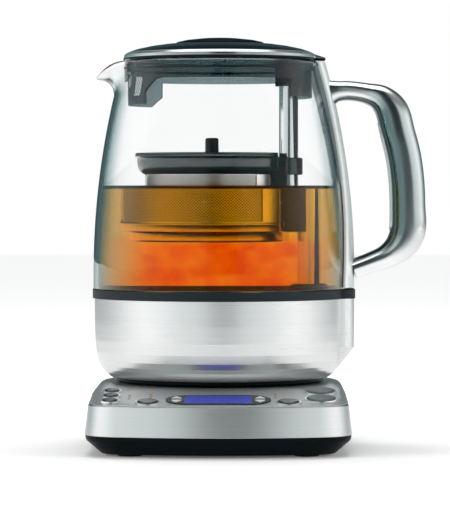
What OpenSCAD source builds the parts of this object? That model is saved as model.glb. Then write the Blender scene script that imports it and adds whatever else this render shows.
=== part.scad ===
// Automatic tea maker: glass jug with a motor-lifted tea basket, on a power base with a control panel.
// Frame: +X towards the handle, -X towards the spout, -Y towards the controls, +Z up.
// Origin: on the jug's swivel axis, at the floor. All sizes in millimetres.

/* [Power base] */
// Width of the base
base_w = 158; // [150:1:190]
// Distance from the swivel axis to the front edge
base_front = 124; // [118:1:150]
// Distance from the swivel axis to the back edge
base_back = 84; // [80:1:100]
// Corner radius at the front
front_corner_r = 26; // [14:1:30]
// Corner radius at the back
back_corner_r = 58; // [45:1:62]
// Bow of the front edge at its middle
front_bow = 8; // [0:0.5:10]
// Height of the bottom tray
tray_h = 12.3; // [10:0.1:16]
// Chamfer round the tray's lower edge
tray_chamfer = 9; // [5:0.5:11]
// Height of the top edge of the steel band, at the front
band_top = 29.8; // [26:0.1:34]
// Sheet thickness of the steel band
band_wall = 1.2; // [0.8:0.1:2]
// Height of the flat deck under the jug
deck_top = 38; // [36:0.5:44]
// Wall of the deck and the tray
shell_wall = 2.5; // [2:0.1:3.5]
// Height of the rubber feet
foot_h = 3; // [2.4:0.1:4]
// Radius of a rubber foot
foot_r = 8; // [6:0.5:10]

/* [Control panel] */
// Distance from the swivel axis to where the panel starts to slope
panel_start = 66; // [65:0.5:70]
// Slope of the panel in degrees
panel_angle = 8; // [5:0.5:10]
// Travel of the buttons
button_travel = 1; // [0.5:0.1:1.2]
// Radius of the three small buttons
small_button_r = 4.5; // [3.5:0.1:5]
// Radius of the two middle buttons
mid_button_r = 6.3; // [5:0.1:7]
// Radius of the two large buttons
large_button_r = 8.6; // [7:0.1:9]
// Width of the bright ring round a button
bezel_w = 1.1; // [0.8:0.1:1.3]
// Width of the display pod
pod_w = 62; // [58:1:66]
// Depth of the display pod
pod_d = 25; // [22:0.5:26]
// Width of the display window
window_w = 39; // [34:0.5:40]

/* [Jug] */
// Outer radius of the glass at its widest
glass_r = 78.4; // [74:0.1:82]
// Glass wall thickness
glass_wall = 2.6; // [2:0.1:3.2]
// Radius of the curve that the glass side follows
glass_curve_r = 480; // [440:10:600]
// Height of the glass rim
rim_z = 236; // [215:1:262]
// Height of the spout tip below the rim
spout_drop = 11.2; // [8:0.2:13]
// Reach of the spout beyond the rim
spout_reach = 17.4; // [10:0.2:18]
// Half angle of the spout
spout_half_angle = 26; // [20:1:32]
// Outer radius of the steel cup
cup_r = 77.6; // [76.5:0.1:78]
// Height of the cup's top edge
cup_top = 90; // [86:0.5:100]
// How far the cup tucks in at its lower edge
cup_tuck = 10.2; // [8:0.1:12]
// Sheet thickness of the cup
cup_wall = 1; // [0.8:0.1:1.4]
// Gap between the jug and the deck it stands on
jug_gap = 0.3; // [0.2:0.05:0.6]
// Radius of the black ring the jug stands on
stand_ring_r = 64; // [60:0.5:65]
// Thickness of the heater plate
plate_t = 3; // [2:0.1:4]

/* [Handle] */
// Thickness of the spine that stands off the glass
spine_t = 4.6; // [3.5:0.1:6]
// Width of the grip
grip_w = 24; // [18:0.5:28]
// Thickness factor of the grip
grip_scale = 1; // [0.85:0.01:1.1]

/* [Lid] */
// Outer radius of the lid's rim
lid_r = 59.8; // [59:0.1:61]
// Height of the dome above the glass rim
lid_dome = 10.8; // [8:0.1:14]
// Radius of the lid's knob
lid_knob_r = 27.6; // [20:0.1:34]
// Height of the knob
lid_knob_h = 4; // [3.4:0.1:6]
// Outer radius of the smoked skirt
skirt_r = 57; // [55:0.1:57.2]
// Depth of the skirt below the glass rim
skirt_h = 12; // [9:0.5:14]
// Wall of the skirt
skirt_wall = 1.5; // [1:0.1:2]

/* [Lift post] */
// Distance from the jug's axis to the post
post_x = 42.5; // [41:0.5:44]
// Outer radius of the post
post_r = 5.9; // [5.6:0.1:6.2]
// Wall of the post
post_wall = 1; // [0.8:0.1:1.2]
// Travel of the basket below and above its place at rest
travel_down = 26; // [20:1:26]
// Travel upwards
travel_up = 36; // [30:1:36]
// Lead of the screw in the post
screw_lead = 12; // [10:1:16]
// Outer radius of the screw's thread
thread_r = 3; // [2.6:0.1:3.1]
// Teeth on the screw's gear
gear_teeth = 30; // [24:1:34]
// Teeth on the motor's pinion
pinion_teeth = 12; // [11:1:16]
// Gear module
gear_module = 0.8; // [0.7:0.05:0.9]

/* [Tea basket] */
// Distance from the jug's axis to the basket's axis, towards the spout
basket_offset = 5; // [4:0.5:7]
// Radius of the collar at its top
collar_r = 47; // [44:0.5:48]
// Height of the collar's top edge at rest
collar_top = 178; // [172:1:184]
// Height of the collar
collar_h = 12; // [10:1:18]
// Radius of the perforated wall
mesh_r = 41.5; // [38:0.5:42]
// Sheet thickness of the basket
mesh_wall = 0.6; // [0.5:0.1:0.8]
// Height of the perforated wall below the collar
mesh_h = 37; // [30:1:40]
// Radius of the basket lid's knob
basket_knob_r = 4.2; // [3:0.1:6]
// Height of the basket lid's knob
basket_knob_h = 9.4; // [6:0.1:10]

/* [Hidden] */

$fn = 64;
sliver = 0.01;
run_gap = 0.05;
fit_gap = 0.15;
loose_gap = 0.3;

// ---------- Power base ----------
// The base's plan as a ring of points: back corners, front corners and the bow between them.
// A turned ring also has a point on each side where the panel starts to slope.
corner_steps = 8;
function arc_points(cx, cy, r, from, to) = [for (k = [0:corner_steps]) let (a = from + (to - from)*k/corner_steps) [cx + r*cos(a), cy + r*sin(a)]];
// The bow leaves each front corner along its tangent.
bow_half = base_w/2 - front_corner_r;
bow_angle = atan(2*front_bow/(bow_half + front_corner_r*0.26));
bow_x = bow_half + front_corner_r*sin(bow_angle);
bow_sag = bow_x*tan(bow_angle)/2;
function bow_point(t, inset) = let (m = 2*bow_sag*t/bow_x, n = norm([1, m])) [bow_x*t - inset*m/n, bow_sag*t*t - base_front + inset/n];
function plan_ring(inset, turned = false) = let (bx = base_w/2 - back_corner_r, by = base_back - back_corner_r, br = back_corner_r - inset,
        fy = bow_sag + front_corner_r*cos(bow_angle) - base_front, fr = front_corner_r - inset) concat(
    arc_points(bx, by, br, 0, 90), arc_points(-bx, by, br, 90, 180), turned ? [[-base_w/2 + inset, -panel_start]] : [],
    arc_points(-bow_half, fy, fr, 180, 270 - bow_angle),
    [for (k = [-3:3]) bow_point(k/4, inset)],
    arc_points(bow_half, fy, fr, 270 + bow_angle, 360), turned ? [[base_w/2 - inset, -panel_start]] : []
);
function quad(a, b, c, d) = [[a, b, c], [a, c, d]];
// Side faces through a stack of rings of n points each; the last ring joins the first when looped.
function stack_faces(rings, n, looped) = [
    for (k = [0:rings - (looped ? 1 : 2)]) for (j = [0:n - 1])
        let (k1 = (k + 1) % rings, j1 = (j + 1) % n)
        for (f = quad(k*n + j, k1*n + j, k1*n + j1, k*n + j1)) f
];
// A closed solid through a stack of rings, with flat ends.
module capped_stack(rings) {
    n = len(rings[0]);
    polyhedron(points = [for (r = rings) each r], faces = concat(
        [[for (j = [0:n - 1]) j]],
        stack_faces(len(rings), n, false),
        [[for (j = [n - 1:-1:0]) (len(rings) - 1)*n + j]]));
}
// The plan at one [z, inset] level.
function plan_level(level, turned = false) = [for (p = plan_ring(level[1], turned)) [p[0], p[1], level[0]]];

band_flare = 2;
tray_z0 = foot_h*0.4;
foot_recess = foot_h - tray_z0;
tray_floor = foot_recess + 1.4;
post_places = [[-58, 36], [58, 36], [-63, -52], [63, -52]];
tray_post_r = 4;
screw_r = 1.5;
screw_head_r = 3;
joint_z = 22;
gland_r = 4.6;
gland_bore_r = 3.2;
gland_z = tray_z0 + 5.6;
gland_x = 30;
gland_len = 14;
foot_places = [[0, 0], [-48, 44], [48, 44], [-52, -96], [52, -96]];

module base_tray() color([0.05, 0.06, 0.07]) difference() {
    union() {
        capped_stack([for (level = [[tray_z0, tray_chamfer + 1.5], [tray_z0 + 1, tray_chamfer], [tray_z0 + tray_chamfer, 0.3],
            [tray_h, 0.3], [tray_h, shell_wall + 0.5], [tray_z0 + tray_chamfer + 1, shell_wall + 0.5],
            [tray_z0 + tray_floor, tray_chamfer + 2]]) plan_level(level)]);
        for (p = post_places) translate([p[0], p[1], tray_z0 + 1]) cylinder(r = tray_post_r, h = joint_z - tray_z0 - 1);
    }
    for (p = post_places) translate([p[0], p[1], 0]) {
        cylinder(r = screw_r + fit_gap, h = joint_z + 1);
        cylinder(r = screw_head_r + loose_gap, h = tray_z0 + 2);
    }
    for (p = foot_places) translate([p[0], p[1], 0]) cylinder(r = foot_r + fit_gap, h = tray_z0 + foot_recess);
    translate([gland_x, base_back - gland_len - 1, gland_z]) rotate([-90, 0, 0]) cylinder(r = gland_r + fit_gap, h = gland_len + 4);
}

module rubber_feet() color([0.1, 0.1, 0.1])
    for (p = foot_places) translate([p[0], p[1], 0]) {
        cylinder(r1 = foot_r - 1, r2 = foot_r, h = 1);
        translate([0, 0, 1]) cylinder(r = foot_r, h = foot_h - 1);
    }

module base_screws() color("silver")
    for (p = post_places) translate([p[0], p[1], tray_z0 + 2 - 1.8]) difference() {
        union() {
            cylinder(r = screw_head_r, h = 1.8);
            cylinder(r = screw_r, h = joint_z + 5);
        }
        translate([0, 0, -1]) cylinder(r = 1.2, h = 1.8, $fn = 6);
    }

module steel_band() color([0.75, 0.76, 0.76]) {
    rings = [for (level = [[tray_h, 0], [band_top, band_flare], [band_top, band_flare + band_wall], [tray_h, band_wall]])
        plan_level(level)];
    polyhedron(points = [for (r = rings) each r], faces = stack_faces(len(rings), len(rings[0]), true));
}

// Deck: flat under the jug, sloping down to the front as one plane.
deck_z0 = band_top + 0.4;
deck_shoulder = [[4.5, 2.4], [1.4, 3.3], [0.35, 4.6], [0, 6.2]];
lip_depth = 4;
function panel_z(y) = deck_top - (-y - panel_start)*tan(panel_angle);

// The deck's outline at one level, [drop below the top surface, inset], following the flat and the slope.
function deck_ring(level, shrink) = [for (p = plan_ring(level[1] + shrink, true))
    [p[0], p[1], max(deck_z0 + 0.3 + level[1]*0.05, min(deck_top, panel_z(p[1])) - level[0]) - shrink]];
// One shell: down the inside from its ceiling, round the lip that sits in the band, and up the outside.
module deck_shell() {
    levels = len(deck_shoulder);
    rings = concat(
        [for (k = [levels - 1:-1:0]) deck_ring(deck_shoulder[k], shell_wall)],
        [for (level = [[band_top - lip_depth, 6], [band_top - lip_depth, 3.8], [deck_z0, 3.8], [deck_z0, 1.9]]) plan_level(level, true)],
        [for (level = deck_shoulder) deck_ring(level, 0)]);
    n = len(rings[0]);
    top = (len(rings) - 1)*n;
    turn = 2*corner_steps + 2;
    polyhedron(points = [for (r = rings) each r], faces = concat(
        [[n - 1, for (j = [0:turn]) j], [for (j = [turn:n - 1]) j]],
        stack_faces(len(rings), n, false),
        [[for (j = [turn:-1:0]) top + j, top + n - 1], [for (j = [n - 1:-1:turn]) top + j]]));
}

module on_panel(x, s) translate([0, -panel_start, deck_top]) rotate([panel_angle, 0, 0]) translate([x, -s, 0]) children();

// Controls, as [x, distance down the panel, radius].
small_x = 63.5;
small_places = [[-small_x, 9], [-small_x, 23], [-small_x, 37]];
mid_x = 41.3;
mid_s = 41;
large_x = 60.5;
large_places = [[large_x, 9.5], [large_x, 31.5]];
round_controls = concat(
    [for (p = small_places) [p[0], p[1], small_button_r]],
    [[-mid_x, mid_s, mid_button_r], [mid_x, mid_s, mid_button_r]],
    [for (p = large_places) [p[0], p[1], large_button_r]]
);
pod_s = 35;
key_x = 24.6;
key_step = 4.3;
key_r = 3.4;
key_places = [for (x = [-key_x, key_x]) for (s = [-key_step, key_step]) [x, pod_s + s]];
led_places = [[-52.6, 21], [-52.6, 26], [-52.6, 31], [-40, 18], [-40, 23], [-40, 28], [33.6, 18], [33.6, 23], [33.6, 28]];
led_r = 0.9;
board_depth = 7.5;
board_t = 1.6;
switch_h = 3;
switch_gap = button_travel + 0.1;
window_d = pod_d - 2.6;

connector_r = 17.5;
connector_top = 52;
connector_flange_r = 25;
groove_in = 9.4;
groove_out = 13;
groove_depth = 10;
centre_hole_r = 3;

// A bar with round ends, lying along X.
module stadium(w, d, h) {
    for (s = [-1, 1]) translate([s*(w - d)/2, 0, 0]) cylinder(d = d, h = h);
    translate([-(w - d)/2, -d/2, 0]) cube([w - d, d, h]);
}

module control_deck() color([0.72, 0.74, 0.74]) {
    difference() {
        deck_shell();
        translate([0, 0, deck_top - shell_wall - 3]) cylinder(r = connector_r + 0.8, h = shell_wall + 4);
        for (c = round_controls)
            on_panel(c[0], c[1]) translate([0, 0, -shell_wall - 3]) cylinder(r = c[2] + bezel_w + fit_gap, h = shell_wall + 4);
        for (p = led_places)
            on_panel(p[0], p[1]) translate([0, 0, -shell_wall - 3]) cylinder(r = led_r + fit_gap, h = shell_wall + 4, $fn = 24);
        on_panel(0, pod_s) translate([0, 0, -shell_wall - 3]) stadium(pod_w + 2*fit_gap, pod_d + 2*fit_gap, shell_wall + 4);
    }
    for (p = post_places) translate([p[0], p[1], joint_z + fit_gap]) difference() {
        cylinder(r = tray_post_r, h = deck_top - shell_wall - joint_z - fit_gap + 0.6);
        translate([0, 0, -1]) cylinder(r = screw_r + run_gap, h = 8.5);
    }
}

module swivel_connector() color([0.08, 0.08, 0.09]) difference() {
    union() {
        translate([0, 0, deck_top - shell_wall - 2.2]) cylinder(r = connector_flange_r, h = 2);
        translate([0, 0, deck_top - shell_wall - 12]) cylinder(r = connector_r, h = connector_top - deck_top + shell_wall + 11);
        translate([0, 0, connector_top - 1]) cylinder(r1 = connector_r, r2 = connector_r - 1, h = 1);
    }
    translate([0, 0, connector_top - groove_depth]) difference() {
        cylinder(r = groove_out, h = groove_depth + 1);
        translate([0, 0, -1]) cylinder(r = groove_in, h = groove_depth + 3);
    }
    translate([0, 0, connector_top - groove_depth]) cylinder(r = centre_hole_r, h = groove_depth + 1);
}

module connector_contacts() color("goldenrod") translate([0, 0, connector_top - groove_depth + run_gap]) {
    difference() {
        cylinder(r = groove_out - run_gap, h = 4);
        translate([0, 0, -1]) cylinder(r = groove_out - 0.8, h = 6);
    }
    difference() {
        cylinder(r = groove_in + 0.8, h = 4);
        translate([0, 0, -1]) cylinder(r = groove_in + run_gap, h = 6);
    }
    difference() {
        cylinder(r = centre_hole_r - run_gap, h = 4);
        translate([0, 0, -1]) cylinder(r = centre_hole_r - 0.6, h = 6);
    }
}

bezel_depth = shell_wall + 1.5;
module display_bezel() color([0.12, 0.13, 0.14]) on_panel(0, pod_s) translate([0, 0, -bezel_depth]) difference() {
    union() {
        stadium(pod_w, pod_d, bezel_depth + 0.4);
        translate([0, 0, -0.3]) stadium(pod_w + 4, pod_d + 4, 1);
    }
    translate([-window_w/2 - fit_gap, -window_d/2 - fit_gap, -1]) cube([window_w + 2*fit_gap, window_d + 2*fit_gap, bezel_depth + 3]);
    for (p = key_places) translate([p[0], pod_s - p[1], -1]) rotate([0, 0, p[1] < pod_s ? 90 : -90])
        cylinder(r = key_r + 0.4, h = bezel_depth + 3, $fn = 3);
}

module display_window() color([0.1, 0.15, 0.75]) on_panel(0, pod_s)
    translate([-window_w/2, -window_d/2, -1]) cube([window_w, window_d, 1.3]);

module display_module() color([0.1, 0.25, 0.2]) on_panel(0, pod_s) {
    translate([-window_w/2, -window_d/2, -3.2]) cube([window_w, window_d, 2]);
    translate([-window_w/2 + 2, -window_d/2 + 2, -board_depth + 0.1]) cube([window_w - 4, window_d - 4, board_depth - 3.3]);
}

module button_bezels() color("silver") for (c = round_controls) on_panel(c[0], c[1])
    translate([0, 0, -shell_wall]) difference() {
        cylinder(r = c[2] + bezel_w, h = shell_wall + 0.4);
        translate([0, 0, -1]) cylinder(r = c[2] + fit_gap, h = shell_wall + 3);
    }

module control_board() color([0.1, 0.35, 0.2]) difference() {
    on_panel(0, 24) translate([0, 0, -board_depth - board_t]) linear_extrude(board_t)
        hull() for (x = [-58, 58], c = [[1, 12, 10], [1, -8, 10], [0.76, -16, 6]])
            translate([x*c[0], c[1]]) circle(r = c[2], $fn = 32);
    for (p = post_places) translate([p[0], p[1], 0]) cylinder(r = tray_post_r + 0.6, h = 60);
    for (p = led_places) on_panel(p[0], p[1]) translate([0, 0, -board_depth - 3]) cylinder(r = 0.5, h = 4, $fn = 16);
}

module tact_switches() color([0.2, 0.2, 0.2]) {
    for (c = round_controls) on_panel(c[0], c[1]) translate([-2.5, -2.5, -board_depth]) cube([5, 5, switch_h]);
    for (p = key_places) on_panel(p[0], p[1]) translate([-2, -2, -board_depth]) cube([4, 4, switch_h]);
}

module indicator_leds() color([0.85, 0.25, 0.15]) for (p = led_places)
    on_panel(p[0], p[1]) translate([0, 0, -board_depth]) cylinder(r = led_r, h = board_depth - 0.1, $fn = 24);

module power_board() color([0.15, 0.4, 0.2]) translate([-35, 26, tray_z0 + tray_floor]) {
    for (x = [4, 56]) translate([x, 20, 0]) cylinder(r = 2.5, h = 3, $fn = 24);
    translate([0, 0, 3]) cube([60, 40, 1.6]);
    translate([6, 6, 4.6]) cube([18, 15, 12]);
    translate([28, 5, 4.6]) cube([14, 18, 11]);
    translate([50, 10, 4.6]) cylinder(r = 4, h = 11);
}

module cord_gland() color([0.06, 0.06, 0.06]) translate([gland_x, base_back - gland_len, gland_z]) rotate([-90, 0, 0]) difference() {
    cylinder(r = gland_r, h = gland_len);
    translate([0, 0, -1]) cylinder(r = gland_bore_r, h = gland_len + 2);
}

// ---------- Buttons ----------
// A round key: cap in its ring, and a stem that stops just above its switch.
module round_button(place, tone) color(tone) on_panel(place[0], place[1]) {
    translate([0, 0, -1.6]) cylinder(r = place[2] - run_gap, h = 2.3);
    translate([0, 0, 0.7]) cylinder(r1 = place[2] - run_gap, r2 = place[2] - 0.9, h = 0.5);
    translate([0, 0, -board_depth + switch_h + switch_gap]) cylinder(r = 1.6, h = board_depth - switch_h - switch_gap - 1);
}

// An arrow key: a triangle that points away from or towards the display's middle line.
module arrow_key(place) color([0.85, 0.86, 0.86]) on_panel(place[0], place[1]) {
    translate([0, 0, -1.6]) rotate([0, 0, place[1] < pod_s ? 90 : -90]) cylinder(r = key_r, h = 2.4, $fn = 3);
    translate([0, 0, -board_depth + switch_h + switch_gap]) cylinder(r = 1, h = board_depth - switch_h - switch_gap - 1);
}

dark_key = [0.2, 0.21, 0.22];
module hour_button() round_button(round_controls[0], dark_key);
module minute_button() round_button(round_controls[1], dark_key);
module clock_button() round_button(round_controls[2], dark_key);
module tea_type_button() round_button(round_controls[3], dark_key);
module strength_button() round_button(round_controls[4], dark_key);
module hot_water_button() round_button(round_controls[5], dark_key);
module start_button() round_button(round_controls[6], dark_key);
module temp_up_key() arrow_key(key_places[0]);
module temp_down_key() arrow_key(key_places[1]);
module time_up_key() arrow_key(key_places[2]);
module time_down_key() arrow_key(key_places[3]);

// ---------- Connector in the jug's foot ----------
foot_z = deck_top + jug_gap;
cover_z0 = foot_z + 0.4;
cover_top = foot_z + 2.9;
cup_bottom = foot_z + 3.2;
socket_r = 24;
socket_in = connector_r + 0.5;
socket_top = connector_top + 3;

module connector_socket() color([0.08, 0.08, 0.09]) difference() {
    union() {
        translate([0, 0, cover_z0]) cylinder(r = socket_r, h = socket_top - cover_z0);
        translate([0, 0, cover_top + loose_gap]) cylinder(r = socket_r + 3.5, h = 2);
    }
    translate([0, 0, cover_z0 - 1]) cylinder(r = socket_in, h = connector_top + 0.6 - cover_z0 + 1);
    translate([0, 0, connector_top]) cylinder(r = 2.2, h = 10);
}

module socket_contacts() color("goldenrod") {
    translate([0, 0, connector_top - 5]) difference() {
        cylinder(r = 11.8, h = 5.6);
        translate([0, 0, -1]) cylinder(r = 10.8, h = 8);
    }
    translate([0, 0, connector_top - 5]) cylinder(r = 1.9, h = socket_top - connector_top + 7);
}

// ---------- Glass jug ----------
glass_z0 = cup_top + 1.5;
glass_foot_top = glass_z0 + 4.3;
curve_start = cup_top + 15;
glass_foot_in = 1.1;
function glass_out(z) = glass_r - (glass_curve_r - sqrt(pow(glass_curve_r, 2) - pow(max(z - curve_start, 0), 2)))
    - (z < glass_foot_top ? glass_foot_in : 0);

glass_steps = 48;
spout_z0 = rim_z - 21;
wall_levels = concat([glass_z0, glass_foot_top - 0.01, glass_foot_top],
    [for (k = [1:7]) glass_foot_top + (spout_z0 - glass_foot_top)*k/7]);
spout_rings = 6;
ring_count = len(wall_levels) + spout_rings;

// How strongly the rim is pulled into the spout at an angle from +X.
function spout_pull(a) = abs(a - 180) >= spout_half_angle ? 0 : 0.5 + 0.5*cos(180*(a - 180)/spout_half_angle);
function bezier(p0, p1, p2, t) = p0*pow(1 - t, 2) + p1*2*t*(1 - t) + p2*pow(t, 2);
// Outer profile point [radius, height] of ring k at angle a.
function wall_point(k, a) = k < len(wall_levels) ? [glass_out(wall_levels[k]), wall_levels[k]] :
    let (t = (k - len(wall_levels) + 1)/spout_rings, z = spout_z0 + (rim_z - spout_z0)*t, w = spout_pull(a),
         plain = [glass_out(z), z], rim_r = glass_out(rim_z),
         pulled = bezier([glass_out(spout_z0), spout_z0], [glass_out(spout_z0), rim_z - 0.94*spout_drop],
                         [rim_r + spout_reach, rim_z - spout_drop], t))
    [plain[0] + (pulled[0] - plain[0])*w, plain[1] + (pulled[1] - plain[1])*pow(w, 1.8)];
// Inner profile point, one wall thickness along the profile's normal.
function inner_point(k, a) = let (p = wall_point(k, a), q0 = wall_point(max(k - 1, 2), a), q1 = wall_point(min(k + 1, ring_count - 1), a),
         d = (q1 - q0)/max(norm(q1 - q0), 0.001))
    k < 3 ? [glass_r - glass_foot_in - glass_wall, p[1]] : p - glass_wall*[d[1], -d[0]];
function ring_points(f, k) = [for (j = [0:glass_steps - 1]) let (a = 360*j/glass_steps, p = (f == 0 ? wall_point(k, a) : inner_point(k, a)))
    [p[0]*cos(a), p[0]*sin(a), p[1]]];
module glass_jug() color([0.85, 0.93, 0.92, 0.4]) polyhedron(
    points = concat([for (k = [0:ring_count - 1]) each ring_points(0, k)], [for (k = [ring_count - 1:-1:0]) each ring_points(1, k)]),
    faces = stack_faces(2*ring_count, glass_steps, true)
);

// ---------- Seal ring and steel cup ----------
ring_r = glass_r + 0.5;
ring_top = cup_top + 5.5;
ring_in = glass_r - glass_foot_in - glass_wall - fit_gap;
plate_r = ring_in - 1.5;
plate_z0 = cup_top + 3;
plate_top = plate_z0 + plate_t;
spine_out = glass_r + loose_gap + spine_t;
bump_half_w = 22.7;
bump_corner = 9;
bump_z0 = 60;

// The rounded bulge on the handle side, from x = 40 outwards.
module handle_bulge(inset, z0, z1) hull() for (s = [-1, 1]) {
    translate([spine_out - bump_corner - 0.6, s*(bump_half_w - bump_corner), z0]) cylinder(r = bump_corner - inset, h = z1 - z0, $fn = 32);
    translate([55, s*(bump_half_w - bump_corner + 4), z0]) cylinder(r = bump_corner - inset, h = z1 - z0, $fn = 32);
    translate([spine_out - bump_corner - 10, s*(bump_half_w - bump_corner), z0 - 12]) cylinder(r = bump_corner - inset, h = 5, $fn = 32);
}

module glass_seal_ring() color([0.06, 0.09, 0.11]) difference() {
    union() {
        translate([0, 0, cup_top]) cylinder(r = ring_r, h = ring_top - cup_top);
        intersection() {
            handle_bulge(-0.7, cup_top, ring_top);
            translate([0, -60, cup_top]) cube([100, 120, ring_top - cup_top]);
        }
    }
    translate([0, 0, glass_z0 - fit_gap]) difference() {
        cylinder(r = glass_r - glass_foot_in + fit_gap, h = 10);
        translate([0, 0, -1]) cylinder(r = ring_in, h = 12);
    }
    translate([0, 0, plate_z0]) cylinder(r = plate_r + fit_gap, h = 10);
    translate([0, 0, cup_top - 1]) cylinder(r = plate_r - 3, h = 10);
}

cup_tuck_h = 6.6;
cup_levels = [for (h = [0, 0.8, 1.8, 3.2, 5, 7.5, 11, 16, 23, 33]) cup_bottom + h];
function cup_out(z) = cup_r - cup_tuck*exp(-(z - cup_bottom)/cup_tuck_h);
cup_hole_r = stand_ring_r - 2;

module steel_cup() color([0.78, 0.79, 0.79]) difference() {
    union() {
        rotate_extrude($fn = 96) polygon(concat([[0, cup_bottom]], [for (z = cup_levels) [cup_out(z), z]], [[cup_r, cup_top], [0, cup_top]]));
        handle_bulge(0, bump_z0, cup_top);
    }
    rotate_extrude($fn = 96) polygon(concat([[0, cup_bottom + cup_wall]],
        [for (z = cup_levels) [cup_out(z) - cup_wall, z + cup_wall]], [[cup_r - cup_wall, cup_top + 1], [0, cup_top + 1]]));
    handle_bulge(cup_wall, bump_z0 + cup_wall, cup_top + 1);
    translate([0, 0, cup_bottom - 1]) cylinder(r = cup_hole_r, h = 5);
}

// ---------- Foot of the jug ----------
cover_posts = [for (a = [60, 180, 300]) [42*cos(a), 42*sin(a)]];
cover_post_h = 10;

module jug_bottom_cover() color([0.05, 0.05, 0.06]) difference() {
    union() {
        translate([0, 0, foot_z]) cylinder(r1 = stand_ring_r - 1.5, r2 = stand_ring_r, h = 1.2);
        translate([0, 0, foot_z + 1.2]) cylinder(r = stand_ring_r, h = cover_top - foot_z - 1.2);
        translate([0, 0, cover_top - sliver]) cylinder(r = cup_hole_r - fit_gap, h = 2.6);
        for (p = cover_posts) translate([p[0], p[1], cover_top]) cylinder(r = 4, h = cover_post_h);
    }
    translate([0, 0, foot_z - 1]) cylinder(r = stand_ring_r - 5, h = 1.4);
    translate([0, 0, foot_z - 1]) cylinder(r = socket_r + run_gap, h = 10);
    translate([0, 0, cover_top]) difference() {
        cylinder(r = cup_hole_r - 2, h = 6);
        for (p = cover_posts) translate([p[0], p[1], -1]) cylinder(r = 4, h = 8);
    }
    for (p = cover_posts) translate([p[0], p[1], foot_z - 1]) {
        cylinder(r = screw_head_r + loose_gap, h = 2.9);
        cylinder(r = screw_r + run_gap, h = 30);
    }
}

module cup_screws() color("silver") for (p = cover_posts) translate([p[0], p[1], foot_z + 0.5]) difference() {
    union() {
        cylinder(r = screw_head_r, h = 1.4);
        cylinder(r = screw_r, h = cover_post_h);
    }
    translate([0, 0, -1]) cylinder(r = 1.2, h = 1.7, $fn = 6);
}

// ---------- Heater ----------
element_r = 62;
element_tube = 3.5;

module heater_plate() color([0.6, 0.6, 0.58]) difference() {
    translate([0, 0, plate_z0]) cylinder(r = plate_r, h = plate_t, $fn = 96);
    translate([post_x, 0, plate_z0 - 1]) cylinder(r = post_r + fit_gap, h = plate_t + 2);
}

module heating_element() color([0.35, 0.35, 0.36]) {
    translate([0, 0, plate_z0 - element_tube - run_gap]) rotate([0, 0, 210]) rotate_extrude(angle = 300)
        translate([element_r, 0]) circle(r = element_tube, $fn = 32);
    for (a = [215, 145]) rotate([0, 0, a]) translate([element_r, 0, plate_z0 - 16]) cylinder(r = 2.4, h = 11);
}

module temperature_probe() color([0.5, 0.5, 0.52]) translate([-24, -20, 0]) {
    translate([0, 0, plate_z0 - 6]) cylinder(r = 8, h = 6 - run_gap);
    translate([-5, -3, plate_z0 - 12]) cube([10, 6, 6]);
}

// ---------- Lift drive under the heater plate ----------
gear_r = gear_module*gear_teeth/2;
pinion_r = gear_module*pinion_teeth/2;
gear_z0 = cup_top - 12;
gear_h = 4;
journal_r = 1.5;
pinion_y = gear_r + pinion_r + 0.08;
bracket_t = 2;
bracket_low = gear_z0 - 1.5 - bracket_t;
bracket_high = gear_z0 + gear_h + 1.5;
post_z0 = bracket_high + bracket_t;
post_top = rim_z - 10;
post_bore = post_r - post_wall;
bracket_posts = [[-15, -8], [12, -9.5], [-16, 13], [-5, 25.5]];

// Spur gear with straight-sided teeth that taper to the tip.
module spur_gear(teeth, h, bore) {
    pitch_r = gear_module*teeth/2;
    step = 360/teeth;
    function tooth(r, share) = [for (s = [-1, 1]) [r, s*share*step]];
    linear_extrude(h) difference() {
        polygon([for (k = [0:teeth - 1]) for (p = [[pitch_r - 1.15*gear_module, -0.36], [pitch_r, -0.225], [pitch_r + 0.85*gear_module, -0.11],
                 [pitch_r + 0.85*gear_module, 0.11], [pitch_r, 0.225], [pitch_r - 1.15*gear_module, 0.36]])
            [p[0]*cos((k + p[1])*step), p[0]*sin((k + p[1])*step)]]);
        circle(r = bore, $fn = 32);
    }
}

carriage_z0 = collar_top - 46;
carriage_h = 42;
magnet_h = 10;
magnet_z = [carriage_z0 + 7, carriage_z0 + 25];

thread_z0 = carriage_z0 - travel_down - 2;
thread_z1 = carriage_z0 + carriage_h + travel_up + 2;
thread_depth = 0.9;
turn_steps = 8;
// One level of the two-start thread, turned to its height.
function thread_ring(z) = [for (k = [0:7]) (k % 4 < 2 ? thread_r : thread_r - thread_depth)
    *[cos(45*k + 360*(z - thread_z0)/screw_lead), sin(45*k + 360*(z - thread_z0)/screw_lead)]];

module lead_screw() color([0.7, 0.7, 0.72]) translate([post_x, 0, 0]) {
    translate([0, 0, bracket_low - 1]) cylinder(r = journal_r, h = thread_z0 - bracket_low + 1.5);
    translate([0, 0, gear_z0]) rotate([0, 0, 90 + 180/gear_teeth]) spur_gear(gear_teeth, gear_h, journal_r - 0.3);
    translate([0, 0, gear_z0]) cylinder(r = 4, h = gear_h + 1);
    capped_stack([let (steps = round(turn_steps*(thread_z1 - thread_z0)/screw_lead)) for (k = [0:steps])
        let (z = thread_z0 + (thread_z1 - thread_z0)*k/steps) [for (p = thread_ring(z)) [p[0], p[1], z]]]);
    translate([0, 0, thread_z1 - 0.5]) cylinder(r = journal_r, h = post_top - 2.4 - thread_z1 + 0.5);
}

module motor_pinion() color([0.8, 0.7, 0.4]) translate([post_x, pinion_y, gear_z0]) {
    rotate([0, 0, -90]) spur_gear(pinion_teeth, gear_h, journal_r);
    translate([0, 0, -3]) cylinder(r = journal_r, h = gear_h + 3.6);
}

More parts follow.
